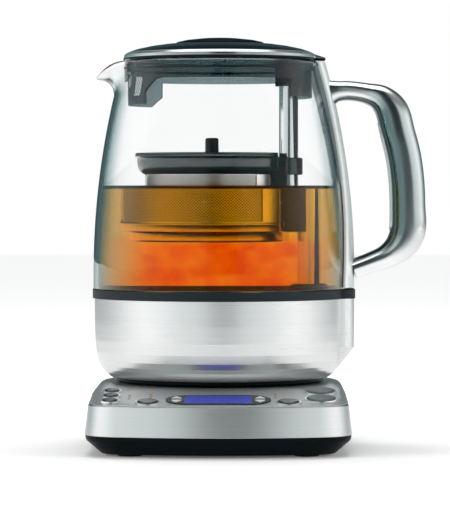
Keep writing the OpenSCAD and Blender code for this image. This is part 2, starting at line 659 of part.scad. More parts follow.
module lift_motor() color([0.62, 0.63, 0.65]) translate([post_x, pinion_y, bracket_low - 26]) {
    difference() {
        union() {
            cylinder(r = 10, h = 25.9);
            translate([0, 0, -2]) cylinder(r = 3, h = 3);
        }
        translate([0, 0, 23]) cylinder(r = 2.2, h = 4);
    }
}

module gearbox_bracket() color([0.3, 0.3, 0.32]) translate([post_x, 0, 0]) difference() {
    union() {
        for (z = [bracket_low, bracket_high]) translate([-19, -12, z]) cube([36, 40, bracket_t]);
        for (p = bracket_posts) translate([p[0], p[1], bracket_low]) cylinder(r = 2, h = plate_z0 - bracket_low - run_gap);
    }
    translate([0, 0, bracket_low - 1]) cylinder(r = journal_r + run_gap, h = bracket_t + 2);
    translate([0, 0, bracket_high - 1]) cylinder(r = 4.3, h = bracket_t + 2);
    translate([0, pinion_y, bracket_low - 1]) cylinder(r = journal_r + run_gap, h = bracket_t + 2);
}

module lift_post() color([0.82, 0.83, 0.83]) translate([post_x, 0, 0]) difference() {
    union() {
        translate([0, 0, post_z0]) cylinder(r = post_r, h = post_top - post_z0 - 0.8);
        translate([0, 0, post_top - 0.8]) cylinder(r1 = post_r, r2 = post_r - 0.8, h = 0.8);
    }
    translate([0, 0, post_z0 - 1]) cylinder(r = post_bore, h = post_top - 4 - post_z0 + 1);
    translate([0, 0, post_top - 5]) cylinder(r = journal_r + run_gap, h = 3.2);
}

module post_seat() color([0.15, 0.16, 0.17]) translate([post_x, 0, plate_top]) difference() {
    union() {
        cylinder(r = post_r + 3.6, h = 2);
        translate([0, 0, 2]) cylinder(r1 = post_r + 3.6, r2 = post_r + 2.2, h = 1);
    }
    translate([0, 0, -1]) cylinder(r = post_r + run_gap, h = 6);
}

module magnet_carriage() color([0.85, 0.85, 0.82]) translate([post_x, 0, 0]) difference() {
    translate([0, 0, carriage_z0]) cylinder(r = post_bore - run_gap, h = carriage_h);
    translate([0, 0, carriage_z0 - 1]) cylinder(r = thread_r + 0.15, h = carriage_h + 2);
    for (z = magnet_z) translate([0, 0, z]) difference() {
        cylinder(r = post_r, h = magnet_h);
        translate([0, 0, -1]) cylinder(r = thread_r + 0.75, h = magnet_h + 2);
    }
}

module carriage_magnets() color([0.55, 0.56, 0.6]) for (z = magnet_z) translate([post_x, 0, z + run_gap]) difference() {
    cylinder(r = post_bore - 0.1, h = magnet_h - 2*run_gap);
    translate([0, 0, -1]) cylinder(r = thread_r + 0.8, h = magnet_h + 2);
}

// ---------- Handle ----------
spine_levels = [for (k = [0:11]) ring_top + 0.4 + (rim_z - 0.4 - ring_top)*k/11];
spine_half = [[96, 21.5], [101, 21], [126, 17], [150, 12], [175, 9], [205, 8.6], [236, 10]];
spine_side = 8;

// One level of the spine: along the glass, then back over its crowned outer face.
function spine_ring(z) = let (r = glass_out(max(z, glass_foot_top)) + loose_gap, w = asin(min(1, lookup(z*236/rim_z, spine_half)/r))) concat(
    [for (k = [0:spine_side]) let (a = w*(1 - 2*k/spine_side)) [r*cos(a), r*sin(a), z]],
    [for (k = [0:spine_side]) let (s = -1 + 2*k/spine_side, a = w*s, t = 0.8 + (spine_t - 0.8)*pow(1 - s*s, 0.45))
        [(r + t)*cos(a), (r + t)*sin(a), z]]);

module handle_spine() color([0.82, 0.84, 0.84]) difference() {
    capped_stack([for (z = spine_levels) [for (p = spine_ring(z)) p]]);
    for (z = handle_screw_z) translate([0, 0, z]) rotate([0, 90, 0]) cylinder(r = 1.7, h = 100, $fn = 24);
}

// Centre line of the handle as [x, z, thickness, width], from the upper arm round to the lower arm.
handle_stations = [
    [68.5, 216.8, 16.5, 16], [73, 217.7, 12.8, 16], [80.5, 218, 12, 17], [91, 216.4, 12.8, 19], [100, 213, 17, 21.5],
    [106.6, 205.2, 20.6, 23], [110.3, 192, 21, 24], [113.9, 177.5, 21.2, 24], [115.9, 162, 21.3, 24], [116.5, 147, 21.4, 24],
    [116.4, 132, 22, 24], [112, 122.6, 19.5, 24], [103.7, 116, 14.8, 24], [94, 112, 12.6, 25], [82.5, 107.9, 12, 27]
];
handle_screw_z = [handle_stations[0][1], handle_stations[14][1]];
station_steps = 3;
handle_sides = 16;

// Catmull-Rom point between stations k and k+1.
function station(k) = let (s = handle_stations[max(0, min(len(handle_stations) - 1, k))])
    [s[0], s[1], s[2]*grip_scale, s[3]*grip_w/24];
function handle_curve(k, t) = let (a = station(k - 1), b = station(k), c = station(k + 1), d = station(k + 2))
    0.5*(2*b + (c - a)*t + (2*a - 5*b + 4*c - d)*t*t + (3*b - a - 3*c + d)*t*t*t);
handle_path = concat([for (k = [0:len(handle_stations) - 2]) for (i = [0:station_steps - 1]) handle_curve(k, i/station_steps)],
    [station(len(handle_stations) - 1)]);
function handle_tangent(i) = let (d = handle_path[min(i + 1, len(handle_path) - 1)] - handle_path[max(i - 1, 0)],
    v = [d[0], d[1]]) v/norm(v);
// Ring of the handle at path point i: a rounded box across the path.
function handle_ring(i) = let (c = handle_path[i], t = handle_tangent(i), n = [-t[1], t[0]])
    [for (j = [0:handle_sides - 1]) let (a = 360*j/handle_sides,
        u = c[2]/2*sign(cos(a))*pow(abs(cos(a)), 0.62), v = c[3]/2*sign(sin(a))*pow(abs(sin(a)), 0.62))
        [c[0] + n[0]*u, v, c[1] + n[1]*u]];

module handle_grip() color([0.8, 0.82, 0.82]) difference() {
    capped_stack([for (i = [0:len(handle_path) - 1]) handle_ring(i)]);
    for (z = handle_screw_z) translate([0, 0, z]) rotate([0, 90, 0]) cylinder(r = screw_r + run_gap, h = glass_out(z) + 14, $fn = 24);
}

// Soft strip let into the inner face of the grip.
insert_first = 16;
insert_last = 31;
insert_proud = 0.5;
insert_w = 12;
function insert_ring(i) = let (c = handle_path[i], t = handle_tangent(i), n = [-t[1], t[0]],
        e = min(i - insert_first, insert_last - i), w = insert_w/2*(e == 0 ? 0.45 : e == 1 ? 0.85 : 1), u0 = -c[2]/2 - insert_proud)
    [for (p = [[u0, -w], [u0, w], [u0 + 1.6, w], [u0 + 1.6, -w]]) [c[0] + n[0]*p[0], p[1], c[1] + n[1]*p[0]]];

module handle_grip_insert() color([0.7, 0.72, 0.72]) capped_stack([for (i = [insert_first:insert_last]) insert_ring(i)]);

module handle_screws() color("silver") for (z = handle_screw_z)
    translate([glass_out(z) + loose_gap + 0.3, 0, z]) rotate([0, 90, 0]) cylinder(r = screw_r, h = 12, $fn = 24);

// ---------- Lid ----------
lid_z0 = rim_z + 0.4;
rim_h = 4.4;
dome_r = lid_knob_r + 0.6;
dome_z = rim_z + lid_dome;
tab_w = 15;
tab_x = 65.2;

module lid_cover() color([0.05, 0.06, 0.07]) {
    difference() {
        union() {
            rotate_extrude($fn = 96) polygon([[0, lid_z0 + 1.2], [lid_r - 1.6, lid_z0 + 1.2], [lid_r - 1.6, lid_z0], [lid_r - 0.5, lid_z0],
                [lid_r, lid_z0 + 0.8], [lid_r, lid_z0 + 2.2], [lid_r - 0.5, lid_z0 + 3.3], [lid_r - 1.8, lid_z0 + rim_h],
                [lid_r - 7, lid_z0 + rim_h + 1.5], [lid_r - 14, lid_z0 + rim_h + 3], [lid_r - 22, dome_z - 0.9], [dome_r, dome_z], [0, dome_z]]);
            hull() for (s = [-1, 1]) {
                translate([tab_x - 4, s*(tab_w/2 - 4), lid_z0 + 0.6]) cylinder(r = 4, h = 1.2, $fn = 32);
                translate([46, s*(tab_w/2 - 3), lid_z0 + 0.6]) cylinder(r = 3, h = 6, $fn = 32);
            }
        }
        translate([0, 0, lid_z0 - 1]) cylinder(r = skirt_r + fit_gap, h = 2.4);
        rotate_extrude($fn = 96) polygon([[0, lid_z0 + 1], [50, lid_z0 + 1], [50, lid_z0 + 3.4], [30, dome_z - 2.4], [0, dome_z - 2.4]]);
    }
}

module lid_knob() color([0.04, 0.04, 0.05]) translate([0, 0, dome_z]) rotate_extrude($fn = 96)
    polygon([[0, 0], [lid_knob_r - 2.4, 0], [lid_knob_r - 2.2, 0.5], [lid_knob_r - 0.7, 0.8], [lid_knob_r, 1.4],
        [lid_knob_r, lid_knob_h - 2.1], [lid_knob_r - 0.8, lid_knob_h - 1.5], [lid_knob_r - 4, lid_knob_h - 1],
        [lid_knob_r - 9, lid_knob_h - 0.5], [lid_knob_r - 16, lid_knob_h - 0.1], [0, lid_knob_h]]);

skirt_z0 = rim_z - skirt_h;
skirt_top = lid_z0 + 1.2 - run_gap;
flap_depth = 15.2;
tab_depth = 10.5;
seal_z = rim_z - 6;

// A wedge from the axis between two angles about its middle direction.
module sector(mid, half0, half1, z0, z1) rotate([0, 0, mid]) polyhedron(
    points = [for (v = [[z0, half0], [z1, half1]]) for (p = [[0, 0], [90, -90*tan(v[1])], [90, 90*tan(v[1])]]) [p[0], p[1], v[0]]],
    faces = [[0, 1, 2], [5, 4, 3], [0, 3, 4, 1], [1, 4, 5, 2], [2, 5, 3, 0]]);

module skirt_ring(z0, z1) translate([0, 0, z0]) difference() {
    cylinder(r = skirt_r, h = z1 - z0, $fn = 96);
    translate([0, 0, -1]) cylinder(r = skirt_r - skirt_wall, h = z1 - z0 + 2, $fn = 96);
}

module lid_skirt() color([0.3, 0.35, 0.36, 0.7]) difference() {
    union() {
        skirt_ring(skirt_z0, skirt_top);
        intersection() {
            skirt_ring(skirt_z0 - flap_depth, skirt_z0);
            sector(180, 38, 48, skirt_z0 - flap_depth, skirt_z0 + sliver);
        }
        intersection() {
            skirt_ring(skirt_z0 - tab_depth, skirt_z0);
            sector(0, 40, 41, skirt_z0 - tab_depth, skirt_z0 + sliver);
        }
        translate([0, 0, skirt_top - 1.4]) cylinder(r = skirt_r - 1, h = 1.4, $fn = 96);
        translate([post_x, 0, skirt_z0 - 3.4]) cylinder(r = post_r + 2.4, h = skirt_top - skirt_z0 + 3);
    }
    translate([post_x, 0, skirt_z0 - 4]) cylinder(r = post_r + 0.6, h = post_top + 2 - skirt_z0 + 4);
    translate([0, 0, seal_z]) difference() {
        cylinder(r = skirt_r + 1, h = 1.6, $fn = 96);
        translate([0, 0, -1]) cylinder(r = skirt_r - 0.7, h = 4, $fn = 96);
    }
}

module lid_seal() color([0.35, 0.37, 0.38]) translate([0, 0, seal_z + run_gap]) difference() {
    cylinder(r = skirt_r + 0.4, h = 1.5, $fn = 96);
    translate([0, 0, -1]) cylinder(r = skirt_r - 0.7 + run_gap, h = 4, $fn = 96);
}

// ---------- Tea basket ----------
collar_z0 = collar_top - collar_h;
mesh_z0 = collar_z0 - mesh_h;
flat_x = post_x - 11.5;
step_h = 5;
mesh_tuck = 3;
slider_r = post_r + 2.8;
slider_bore = post_r + 0.7;
housing_z0 = mesh_z0 + 1;

module basket_place() translate([-basket_offset, 0, 0]) children();
// Cuts away everything on the post's side of the basket's flat.
module past_flat(x) translate([x, -60, 100]) cube([60, 120, 100]);

module basket_collar() color([0.25, 0.3, 0.31]) {
    difference() {
        basket_place() difference() {
            union() {
                translate([0, 0, collar_z0 + 4]) cylinder(r1 = collar_r - 1, r2 = collar_r, h = collar_h - 4.8);
                translate([0, 0, collar_z0]) cylinder(r1 = mesh_r + 0.6, r2 = collar_r - 1, h = 4.01);
                translate([0, 0, collar_top - 0.9]) cylinder(r = collar_r + 0.8, h = 0.9);
            }
            translate([0, 0, collar_z0 + 5]) cylinder(r1 = collar_r - 2.6, r2 = collar_r - 1.6, h = collar_h);
            translate([0, 0, collar_z0 - 1]) cylinder(r = mesh_r - 1.5, h = 7);
            translate([0, 0, collar_z0 - 1]) cylinder(r = mesh_r + run_gap, h = 1 + mesh_tuck + run_gap);
        }
        past_flat(flat_x + 6);
        translate([post_x, 0, collar_z0 - 1]) cylinder(r = slider_r - 0.2, h = collar_h + 2);
    }
    difference() {
        union() {
            translate([post_x, 0, collar_z0]) cylinder(r = slider_r, h = 10.6);
            translate([flat_x + 0.2, -8, housing_z0]) cube([6, 16, collar_top - housing_z0 - 1]);
        }
        translate([post_x, 0, housing_z0 - 1]) cylinder(r = slider_bore, h = 80);
        for (z = magnet_z) translate([flat_x + 0.7, -5 - fit_gap, z - fit_gap]) cube([3.4, 10 + 2*fit_gap, magnet_h + 2*fit_gap]);
    }
    difference() {
        translate([flat_x - 1.4, -34, collar_z0 + 5]) cube([1.6, 68, collar_h - 6]);
        basket_place() translate([0, 0, collar_z0]) difference() {
            cylinder(r = 80, h = 40);
            translate([0, 0, -1]) cylinder(r = collar_r - 2, h = 42);
        }
    }
}

module slider_magnets() color([0.55, 0.56, 0.6]) for (z = magnet_z)
    translate([flat_x + 0.7 + fit_gap, -5, z]) cube([3, 10, magnet_h]);

module basket_mesh() color([0.7, 0.71, 0.71]) difference() {
    basket_place() union() {
        translate([0, 0, mesh_z0]) cylinder(r = mesh_r, h = mesh_h + mesh_tuck, $fn = 96);
        translate([0, 0, mesh_z0]) cylinder(r = mesh_r + 0.7, h = 1.4, $fn = 96);
        translate([0, 0, mesh_z0 - step_h]) cylinder(r = mesh_r - 4, h = step_h + 1, $fn = 96);
    }
    difference() {
        basket_place() union() {
            translate([0, 0, mesh_z0 + mesh_wall]) cylinder(r = mesh_r - mesh_wall, h = mesh_h + 4, $fn = 96);
            translate([0, 0, mesh_z0 - step_h + mesh_wall]) cylinder(r = mesh_r - 4 - mesh_wall, h = step_h + 2, $fn = 96);
        }
        past_flat(flat_x - mesh_wall);
    }
    past_flat(flat_x);
}

lid_disc_z = collar_top + 0.2;
module basket_lid() color([0.22, 0.26, 0.27]) difference() {
    basket_place() union() {
        translate([0, 0, lid_disc_z]) cylinder(r = collar_r + 0.4, h = 1.2, $fn = 96);
        translate([0, 0, lid_disc_z - 2]) cylinder(r = mesh_r - 3, h = 2.01, $fn = 96);
    }
    basket_place() translate([0, 0, lid_disc_z - 3]) cylinder(r = mesh_r - 4.2, h = 3, $fn = 96);
    past_flat(flat_x + 4.6);
    translate([flat_x - 1.4 - loose_gap, -60, collar_top - 10]) cube([20, 120, 10.1]);
    translate([post_x, 0, collar_top - 1]) cylinder(r = slider_bore, h = 5);
}

module basket_lid_knob() color([0.03, 0.03, 0.03]) basket_place() translate([0, 0, lid_disc_z + 1.2 + run_gap]) rotate_extrude($fn = 48)
    polygon([[0, 0], [basket_knob_r + 0.5, 0], [basket_knob_r, 0.8], [basket_knob_r - 0.1, basket_knob_h - 0.9],
        [basket_knob_r - 0.9, basket_knob_h - 0.1], [0, basket_knob_h]]);

base_tray();
rubber_feet();
steel_band();
control_deck();
swivel_connector();
connector_contacts();
display_bezel();
display_window();
display_module();
button_bezels();
control_board();
tact_switches();
indicator_leds();
power_board();
cord_gland();
base_screws();
hour_button();
minute_button();
clock_button();
tea_type_button();
strength_button();
start_button();
hot_water_button();
temp_up_key();
temp_down_key();
time_up_key();
time_down_key();
connector_socket();
socket_contacts();
glass_jug();
glass_seal_ring();
steel_cup();
heater_plate();
heating_element();
jug_bottom_cover();
handle_spine();
handle_grip();
handle_grip_insert();
handle_screws();
lift_post();
post_seat();
lift_motor();
gearbox_bracket();
temperature_probe();
cup_screws();
motor_pinion();
lead_screw();
magnet_carriage();
carriage_magnets();
lid_cover();
lid_knob();
lid_skirt();
lid_seal();
basket_collar();
basket_mesh();
slider_magnets();
basket_lid();
basket_lid_knob();
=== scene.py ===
import math
import bpy
import bmesh
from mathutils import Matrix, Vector


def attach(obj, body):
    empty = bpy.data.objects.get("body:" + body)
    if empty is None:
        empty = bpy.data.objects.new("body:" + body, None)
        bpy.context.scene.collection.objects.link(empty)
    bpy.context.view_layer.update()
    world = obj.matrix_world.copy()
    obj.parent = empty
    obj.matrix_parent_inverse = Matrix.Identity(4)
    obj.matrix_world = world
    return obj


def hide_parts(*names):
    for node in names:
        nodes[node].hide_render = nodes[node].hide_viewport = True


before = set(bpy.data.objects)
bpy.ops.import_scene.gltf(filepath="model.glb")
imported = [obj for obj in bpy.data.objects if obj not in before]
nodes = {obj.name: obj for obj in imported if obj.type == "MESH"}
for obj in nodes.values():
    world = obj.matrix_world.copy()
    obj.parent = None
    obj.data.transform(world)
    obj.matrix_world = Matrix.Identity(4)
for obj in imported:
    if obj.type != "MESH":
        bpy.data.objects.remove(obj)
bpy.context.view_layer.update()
scene = bpy.context.scene
scene.view_settings.view_transform = "Standard"
mm = 0.001
weld = {"shell": 0.001, "sliver": 0.0005, "turned": 0.002, "lattice": 0.02}  # mm, nearer points merge
print("frame loaded:", len(nodes), "nodes")

# shared tools for nodes


def feed(tree, node, inputs):
    # each input takes a plain value, or the socket that drives it
    for key, value in inputs.items():
        if isinstance(value, bpy.types.NodeSocket):
            tree.links.new(value, node.inputs[key])
        else:
            node.inputs[key].default_value = value
    return node


def addNode(tree, kind, inputs=None, **settings):
    node = tree.nodes.new(kind)
    for key, value in settings.items():
        setattr(node, key, value)
    return feed(tree, node, inputs or {})


def calc(tree, operation, *values):
    return addNode(tree, "ShaderNodeMath", dict(enumerate(values)), operation=operation).outputs[0]


def vectorCalc(tree, operation, *values):
    return addNode(tree, "ShaderNodeVectorMath", dict(enumerate(values)), operation=operation).outputs[0]


def scaled(tree, vector, share):
    return addNode(tree, "ShaderNodeVectorMath", {0: vector, "Scale": share}, operation="SCALE").outputs[0]


def split(tree, vector):
    return addNode(tree, "ShaderNodeSeparateXYZ", {0: vector}).outputs


def combine(tree, x=0.0, y=0.0, z=0.0):
    return addNode(tree, "ShaderNodeCombineXYZ", {0: x, 1: y, 2: z}).outputs[0]


def coordinates(tree, kind="Object"):
    return addNode(tree, "ShaderNodeTexCoord").outputs[kind]


def mapRange(tree, source, low, high, edges=(0, 1)):
    values = {"Value": source, "From Min": edges[0], "From Max": edges[1], "To Min": low, "To Max": high}
    return addNode(tree, "ShaderNodeMapRange", values).outputs["Result"]


def mixColor(tree, factor, first, second):
    values = {"Factor": factor, "A": first, "B": second}
    return addNode(tree, "ShaderNodeMix", values, data_type="RGBA").outputs["Result"]


def colorRamp(tree, source, tones):
    # tones as (place, colour) in rising order
    ramp = addNode(tree, "ShaderNodeValToRGB", {"Fac": source})
    elements = ramp.color_ramp.elements
    for element, (place, tone) in zip(list(elements), (tones[0], tones[-1])):
        element.position = place
        element.color = (*tone, 1)
    for place, tone in tones[1:-1]:
        elements.new(place).color = (*tone, 1)
    return ramp.outputs["Color"]


def newGroup(name, inputs, outputs, treeKind="ShaderNodeTree"):
    # inputs as (label, kind, value) and outputs as (label, kind)
    group = bpy.data.node_groups.new(name, treeKind)
    for label, kind, value in inputs:
        socket = group.interface.new_socket(name=label, in_out="INPUT", socket_type="NodeSocket" + kind)
        if value is not None:
            socket.default_value = value
    for label, kind in outputs:
        group.interface.new_socket(name=label, in_out="OUTPUT", socket_type="NodeSocket" + kind)
    return group, group.nodes.new("NodeGroupInput").outputs, group.nodes.new("NodeGroupOutput")


def newTree(name, inputs):
    # a Geometry Nodes tree with a mesh in and out and the named inputs
    shape = ("Geometry", "Geometry")
    return newGroup(name, [(*shape, None)] + inputs, [shape], "GeometryNodeTree")


def finishTree(tree, geometry, material, outs):
    solid = addNode(tree, "GeometryNodeRealizeInstances", {"Geometry": geometry}).outputs[0]
    paint = addNode(tree, "GeometryNodeSetMaterial", {"Geometry": solid, "Material": material})
    feed(tree, outs, {"Geometry": paint.outputs[0]})
    return tree


def gridPlace(tree, rows):
    # column and row of each point of a Mesh Grid, whose points count up column by column
    index = addNode(tree, "GeometryNodeInputIndex").outputs[0]
    column = calc(tree, "FLOOR", calc(tree, "DIVIDE", calc(tree, "ADD", index, 0.5), rows))
    return column, calc(tree, "SUBTRACT", index, calc(tree, "MULTIPLY", column, rows))


def meshGrid(tree, columns, rows):
    return addNode(tree, "GeometryNodeMeshGrid", {"Vertices X": columns, "Vertices Y": rows}).outputs["Mesh"]


def setPosition(tree, geometry, **place):
    return addNode(tree, "GeometryNodeSetPosition", {"Geometry": geometry, **place}).outputs[0]


def mergePoints(tree, geometry, distance):
    values = {"Geometry": geometry, "Distance": distance}
    return addNode(tree, "GeometryNodeMergeByDistance", values).outputs[0]


def runTree(piece, tree, values):
    # values by input name, each set by its socket's identifier
    modifier = piece.modifiers.new(tree.name, "NODES")
    modifier.node_group = tree
    for item in tree.interface.items_tree:
        if item.item_type == "SOCKET" and item.in_out == "INPUT" and item.name in values:
            modifier[item.identifier] = values[item.name]


def makeTurnedTree():
    # spins the drawn profile (points in the XZ plane) round the Z axis
    tree, ins, outs = newTree("turned", [("Segments", "Int", 128), ("Material", "Material", None)])
    size = addNode(tree, "GeometryNodeAttributeDomainSize", {"Geometry": ins["Geometry"]})
    count = size.outputs["Point Count"]
    grid = meshGrid(tree, calc(tree, "ADD", ins["Segments"], 1), count)
    column, row = gridPlace(tree, count)
    position = addNode(tree, "GeometryNodeInputPosition").outputs[0]
    sample = {"Geometry": ins["Geometry"], "Value": position, "Index": row}
    drawn = addNode(tree, "GeometryNodeSampleIndex", sample, data_type="FLOAT_VECTOR").outputs["Value"]
    angle = calc(tree, "MULTIPLY", calc(tree, "DIVIDE", column, ins["Segments"]), 2*math.pi)
    spun = addNode(tree, "ShaderNodeVectorRotate", {"Vector": drawn, "Angle": angle}, rotation_type="Z_AXIS")
    body = setPosition(tree, grid, Position=spun.outputs[0])
    return finishTree(tree, mergePoints(tree, body, weld["turned"]*mm), ins["Material"], outs)


turnedTree = makeTurnedTree()

# shared tools for meshes, with sizes in millimetres


def spread(low, high, count):
    # evenly spaced values, both ends among them
    return [low + (high - low)*k/count for k in range(count + 1)]


def lookupLine(pairs, x):
    # straight-line reading of a table of pairs
    for (x0, y0), (x1, y1) in zip(pairs, pairs[1:]):
        if x <= x1:
            return y0 + (y1 - y0)*max(0, (x - x0)/(x1 - x0))
    return pairs[-1][1]


def newPiece(name, mesh):
    piece = bpy.data.objects.new(name, mesh)
    scene.collection.objects.link(piece)
    return piece


def smoothen(mesh):
    for polygon in mesh.polygons:
        polygon.use_smooth = True


def meshPiece(name, points, faces, material=None, smooth=True):
    mesh = bpy.data.meshes.new(name)
    mesh.from_pydata([(x*mm, y*mm, z*mm) for x, y, z in points], [], faces)
    mesh.validate()
    mesh.update()
    if material:
        mesh.materials.append(material)
    if smooth:
        smoothen(mesh)
    return newPiece(name, mesh)


def applyModifiers(piece):
    bpy.context.view_layer.update()
    graph = bpy.context.evaluated_depsgraph_get()
    mesh = bpy.data.meshes.new_from_object(piece.evaluated_get(graph))
    piece.modifiers.clear()
    piece.data = mesh
    return piece


def profileMesh(name, points, closed=False):
    # a profile of radii and heights
    ring = list(points) + ([points[0]] if closed else [])
    mesh = bpy.data.meshes.new(name)
    mesh.from_pydata([(r*mm, 0, z*mm) for r, z in ring], [(i, i + 1) for i in range(len(ring) - 1)], [])
    return newPiece(name, mesh)


def rounded(points, radius, steps=4):
    # the open outline with each inner corner turned into an arc, shorter where its sides are short
    result = [points[0]]
    for i in range(1, len(points) - 1):
        corner = Vector(points[i])
        before = Vector(points[i - 1]) - corner
        after = Vector(points[i + 1]) - corner
        side = min(before.length, after.length)*0.48  # just under half, so that neighbouring arcs don't meet
        reach = min(radius/math.tan(before.angle(after)/2), side)
        start = corner + before.normalized()*reach
        end = corner + after.normalized()*reach
        for t in spread(0, 1, steps):
            result.append(tuple(start*(1 - t)**2 + corner*2*t*(1 - t) + end*t*t))
    return result + [points[-1]]


def outward(piece, sharp=40):
    # closed shells get outward faces, and corners stay crisp past the angle
    shell = bmesh.new()
    shell.from_mesh(piece.data)
    bmesh.ops.remove_doubles(shell, verts=shell.verts, dist=weld["shell"]*mm)
    bmesh.ops.dissolve_degenerate(shell, edges=shell.edges, dist=weld["sliver"]*mm)
    bmesh.ops.recalc_face_normals(shell, faces=shell.faces)
    shell.to_mesh(piece.data)
    shell.free()
    smoothen(piece.data)
    piece.data.set_sharp_from_angle(angle=math.radians(sharp))
    return piece


def turned(name, points, material, segments=160, closed=False, sharp=40):
    piece = profileMesh(name, points, closed)
    runTree(piece, turnedTree, {"Segments": segments, "Material": material})
    return outward(applyModifiers(piece), sharp)


def ringShell(name, rings, material=None, closed=False, caps=True, sharp=35):
    # a skin through a stack of rings of equal length; closed joins the last to the first
    count = len(rings[0])
    faces = []
    for k in range(len(rings) - (0 if closed else 1)):
        upper = (k + 1) % len(rings)
        for j in range(count):
            ahead = (j + 1) % count
            faces.append((k*count + j, k*count + ahead, upper*count + ahead, upper*count + j))
    if caps and not closed:
        faces.append(tuple(reversed(range(count))))
        faces.append(tuple((len(rings) - 1)*count + j for j in range(count)))
    return outward(meshPiece(name, [point for ring in rings for point in ring], faces, material), sharp)


def joinPieces(name, pieces, material):
    # several small meshes become one piece
    shell = bmesh.new()
    for part in pieces:
        shell.from_mesh(part.data)
        bpy.data.objects.remove(part)
    mesh = bpy.data.meshes.new(name)
    shell.to_mesh(mesh)
    shell.free()
    mesh.materials.append(material)
    for polygon in mesh.polygons:
        polygon.material_index = 0
    return newPiece(name, mesh)


# shader groups that several materials share
brushNoise = {"Scale": 1, "Detail": 3, "Roughness": 0.6}
grainNoise = {"fineDetail": 2, "slowScale": 22}
bumpDepth = 0.2  # millimetres
cloud = {"noise": {"Detail": 6, "Roughness": 0.62}, "wave": 0.003, "frontEdges": (0.12, 0.34),
         "patchEdges": (0.4, 0.62)}


def finishGroup(group, ins, outs, pattern, low, high, height):
    # the pattern spreads tone and roughness over the surface
    tone = mapRange(group, pattern, low, high)
    rough = mapRange(group, pattern, ins["Rough Low"], ins["Rough High"])
    feed(group, outs, {"Color": scaled(group, ins["Color"], tone), "Roughness": rough, "Height": height})
    return group


def noiseNode(tree, **inputs):
    return addNode(tree, "ShaderNodeTexNoise", inputs).outputs["Fac"]


def makeBrushGroup():
    # fine streaks of a brushed sheet: tone, roughness and height
    group, ins, outs = newGroup("brushStreaks", [
        ("Stretch", "Vector", (6, 6, 900)), ("Tone Low", "Float", 0.9), ("Tone High", "Float", 1.0),
        ("Rough Low", "Float", 0.25), ("Rough High", "Float", 0.35), ("Color", "Color", (0.6, 0.6, 0.6, 1)),
    ], [("Color", "Color"), ("Roughness", "Float"), ("Height", "Float")])
    stretched = vectorCalc(group, "MULTIPLY", coordinates(group), ins["Stretch"])
    streaks = noiseNode(group, Vector=stretched, **brushNoise)
    return finishGroup(group, ins, outs, streaks, ins["Tone Low"], ins["Tone High"], streaks)


def makeGrainGroup():
    # moulded plastic and cast metal: fine grain with slow tone changes
    group, ins, outs = newGroup("mouldGrain", [
        ("Color", "Color", (0.05, 0.05, 0.05, 1)), ("Grain Scale", "Float", 1800),
        ("Variation", "Float", 0.1), ("Rough Low", "Float", 0.3), ("Rough High", "Float", 0.45),
    ], [("Color", "Color"), ("Roughness", "Float"), ("Height", "Float")])
    coords = coordinates(group)
    fine = noiseNode(group, Vector=coords, Scale=ins["Grain Scale"], Detail=grainNoise["fineDetail"])
    slow = noiseNode(group, Vector=coords, Scale=grainNoise["slowScale"])
    return finishGroup(group, ins, outs, slow, calc(group, "SUBTRACT", 1, ins["Variation"]), 1.0, fine)


def makeHeightGroup():
    # 1 between two heights in the piece's own coordinates, with soft edges
    group, ins, outs = newGroup("heightBand", [
        ("Low", "Float", 0.0), ("High", "Float", 1.0), ("Soft", "Float", 0.001)], [("Mask", "Float")])
    z = split(group, coordinates(group))["Z"]

    def rise(top, foot):
        share = {0: calc(group, "SUBTRACT", top, foot), 1: ins["Soft"]}
        return addNode(group, "ShaderNodeMath", share, operation="DIVIDE", use_clamp=True).outputs[0]

    feed(group, outs, {"Mask": calc(group, "MULTIPLY", rise(z, ins["Low"]), rise(ins["High"], z))})
    return group


def makeCloudGroup():
    # brewed tea: a redder lower layer with soft, drifting patches, faded out toward edge on, where the tea's
    # painted edge light shows
    group, ins, outs = newGroup("teaClouds", [
        ("Color", "Color", (1, 1, 1, 1)), ("Tone", "Color", (0.95, 0.23, 0.003, 1)),
        ("Patch Tone", "Color", (0.8, 0.06, 0.001, 1)), ("Facing", "Float", 0),
        ("Layer Top", "Float", 0.1275), ("Layer Fade", "Float", 0.003), ("Patch Scale", "Float", 75),
    ], [("Color", "Color")])
    coords = coordinates(group)
    noise = noiseNode(group, Vector=coords, Scale=ins["Patch Scale"], **cloud["noise"])
    fadeEnd = calc(group, "SUBTRACT", ins["Layer Top"], ins["Layer Fade"])
    wavy = calc(group, "MULTIPLY_ADD", noise, cloud["wave"], split(group, coords)["Z"])
    low = mapRange(group, wavy, 0.0, 1.0, (ins["Layer Top"], fadeEnd))
    # fades the layer out toward edge on, leaving the painted edge light
    front = mapRange(group, ins["Facing"], 1.0, 0.0, cloud["frontEdges"])
    patch = mapRange(group, noise, 0.0, 1.0, cloud["patchEdges"])
    layer = mixColor(group, patch, ins["Tone"], ins["Patch Tone"])
    feed(group, outs, {"Color": mixColor(group, calc(group, "MULTIPLY", low, front), ins["Color"], layer)})
    return group


brushGroup = makeBrushGroup()
grainGroup = makeGrainGroup()
heightGroup = makeHeightGroup()
cloudGroup = makeCloudGroup()

# materials


def newMaterial(name):
    material = bpy.data.materials.new(name)
    material.use_nodes = True
    return material, material.node_tree, material.node_tree.nodes["Principled BSDF"]


def groupNode(tree, group, inputs):
    return addNode(tree, "ShaderNodeGroup", inputs, node_tree=group).outputs


def surfaceMaterial(name, group, look, rough, bump, shader):
    # colour, roughness and bump come from one of the shared groups, the rest is plain
    material, tree, principled = newMaterial(name)
    effect = groupNode(tree, group, {**look, "Rough Low": rough[0], "Rough High": rough[1]})
    feed(tree, principled, {"Base Color": effect["Color"], "Roughness": effect["Roughness"], **shader})
    if bump:
        relief = {"Strength": bump, "Distance": bumpDepth*mm, "Height": effect["Height"]}
        feed(tree, principled, {"Normal": addNode(tree, "ShaderNodeBump", relief).outputs["Normal"]})
    return material


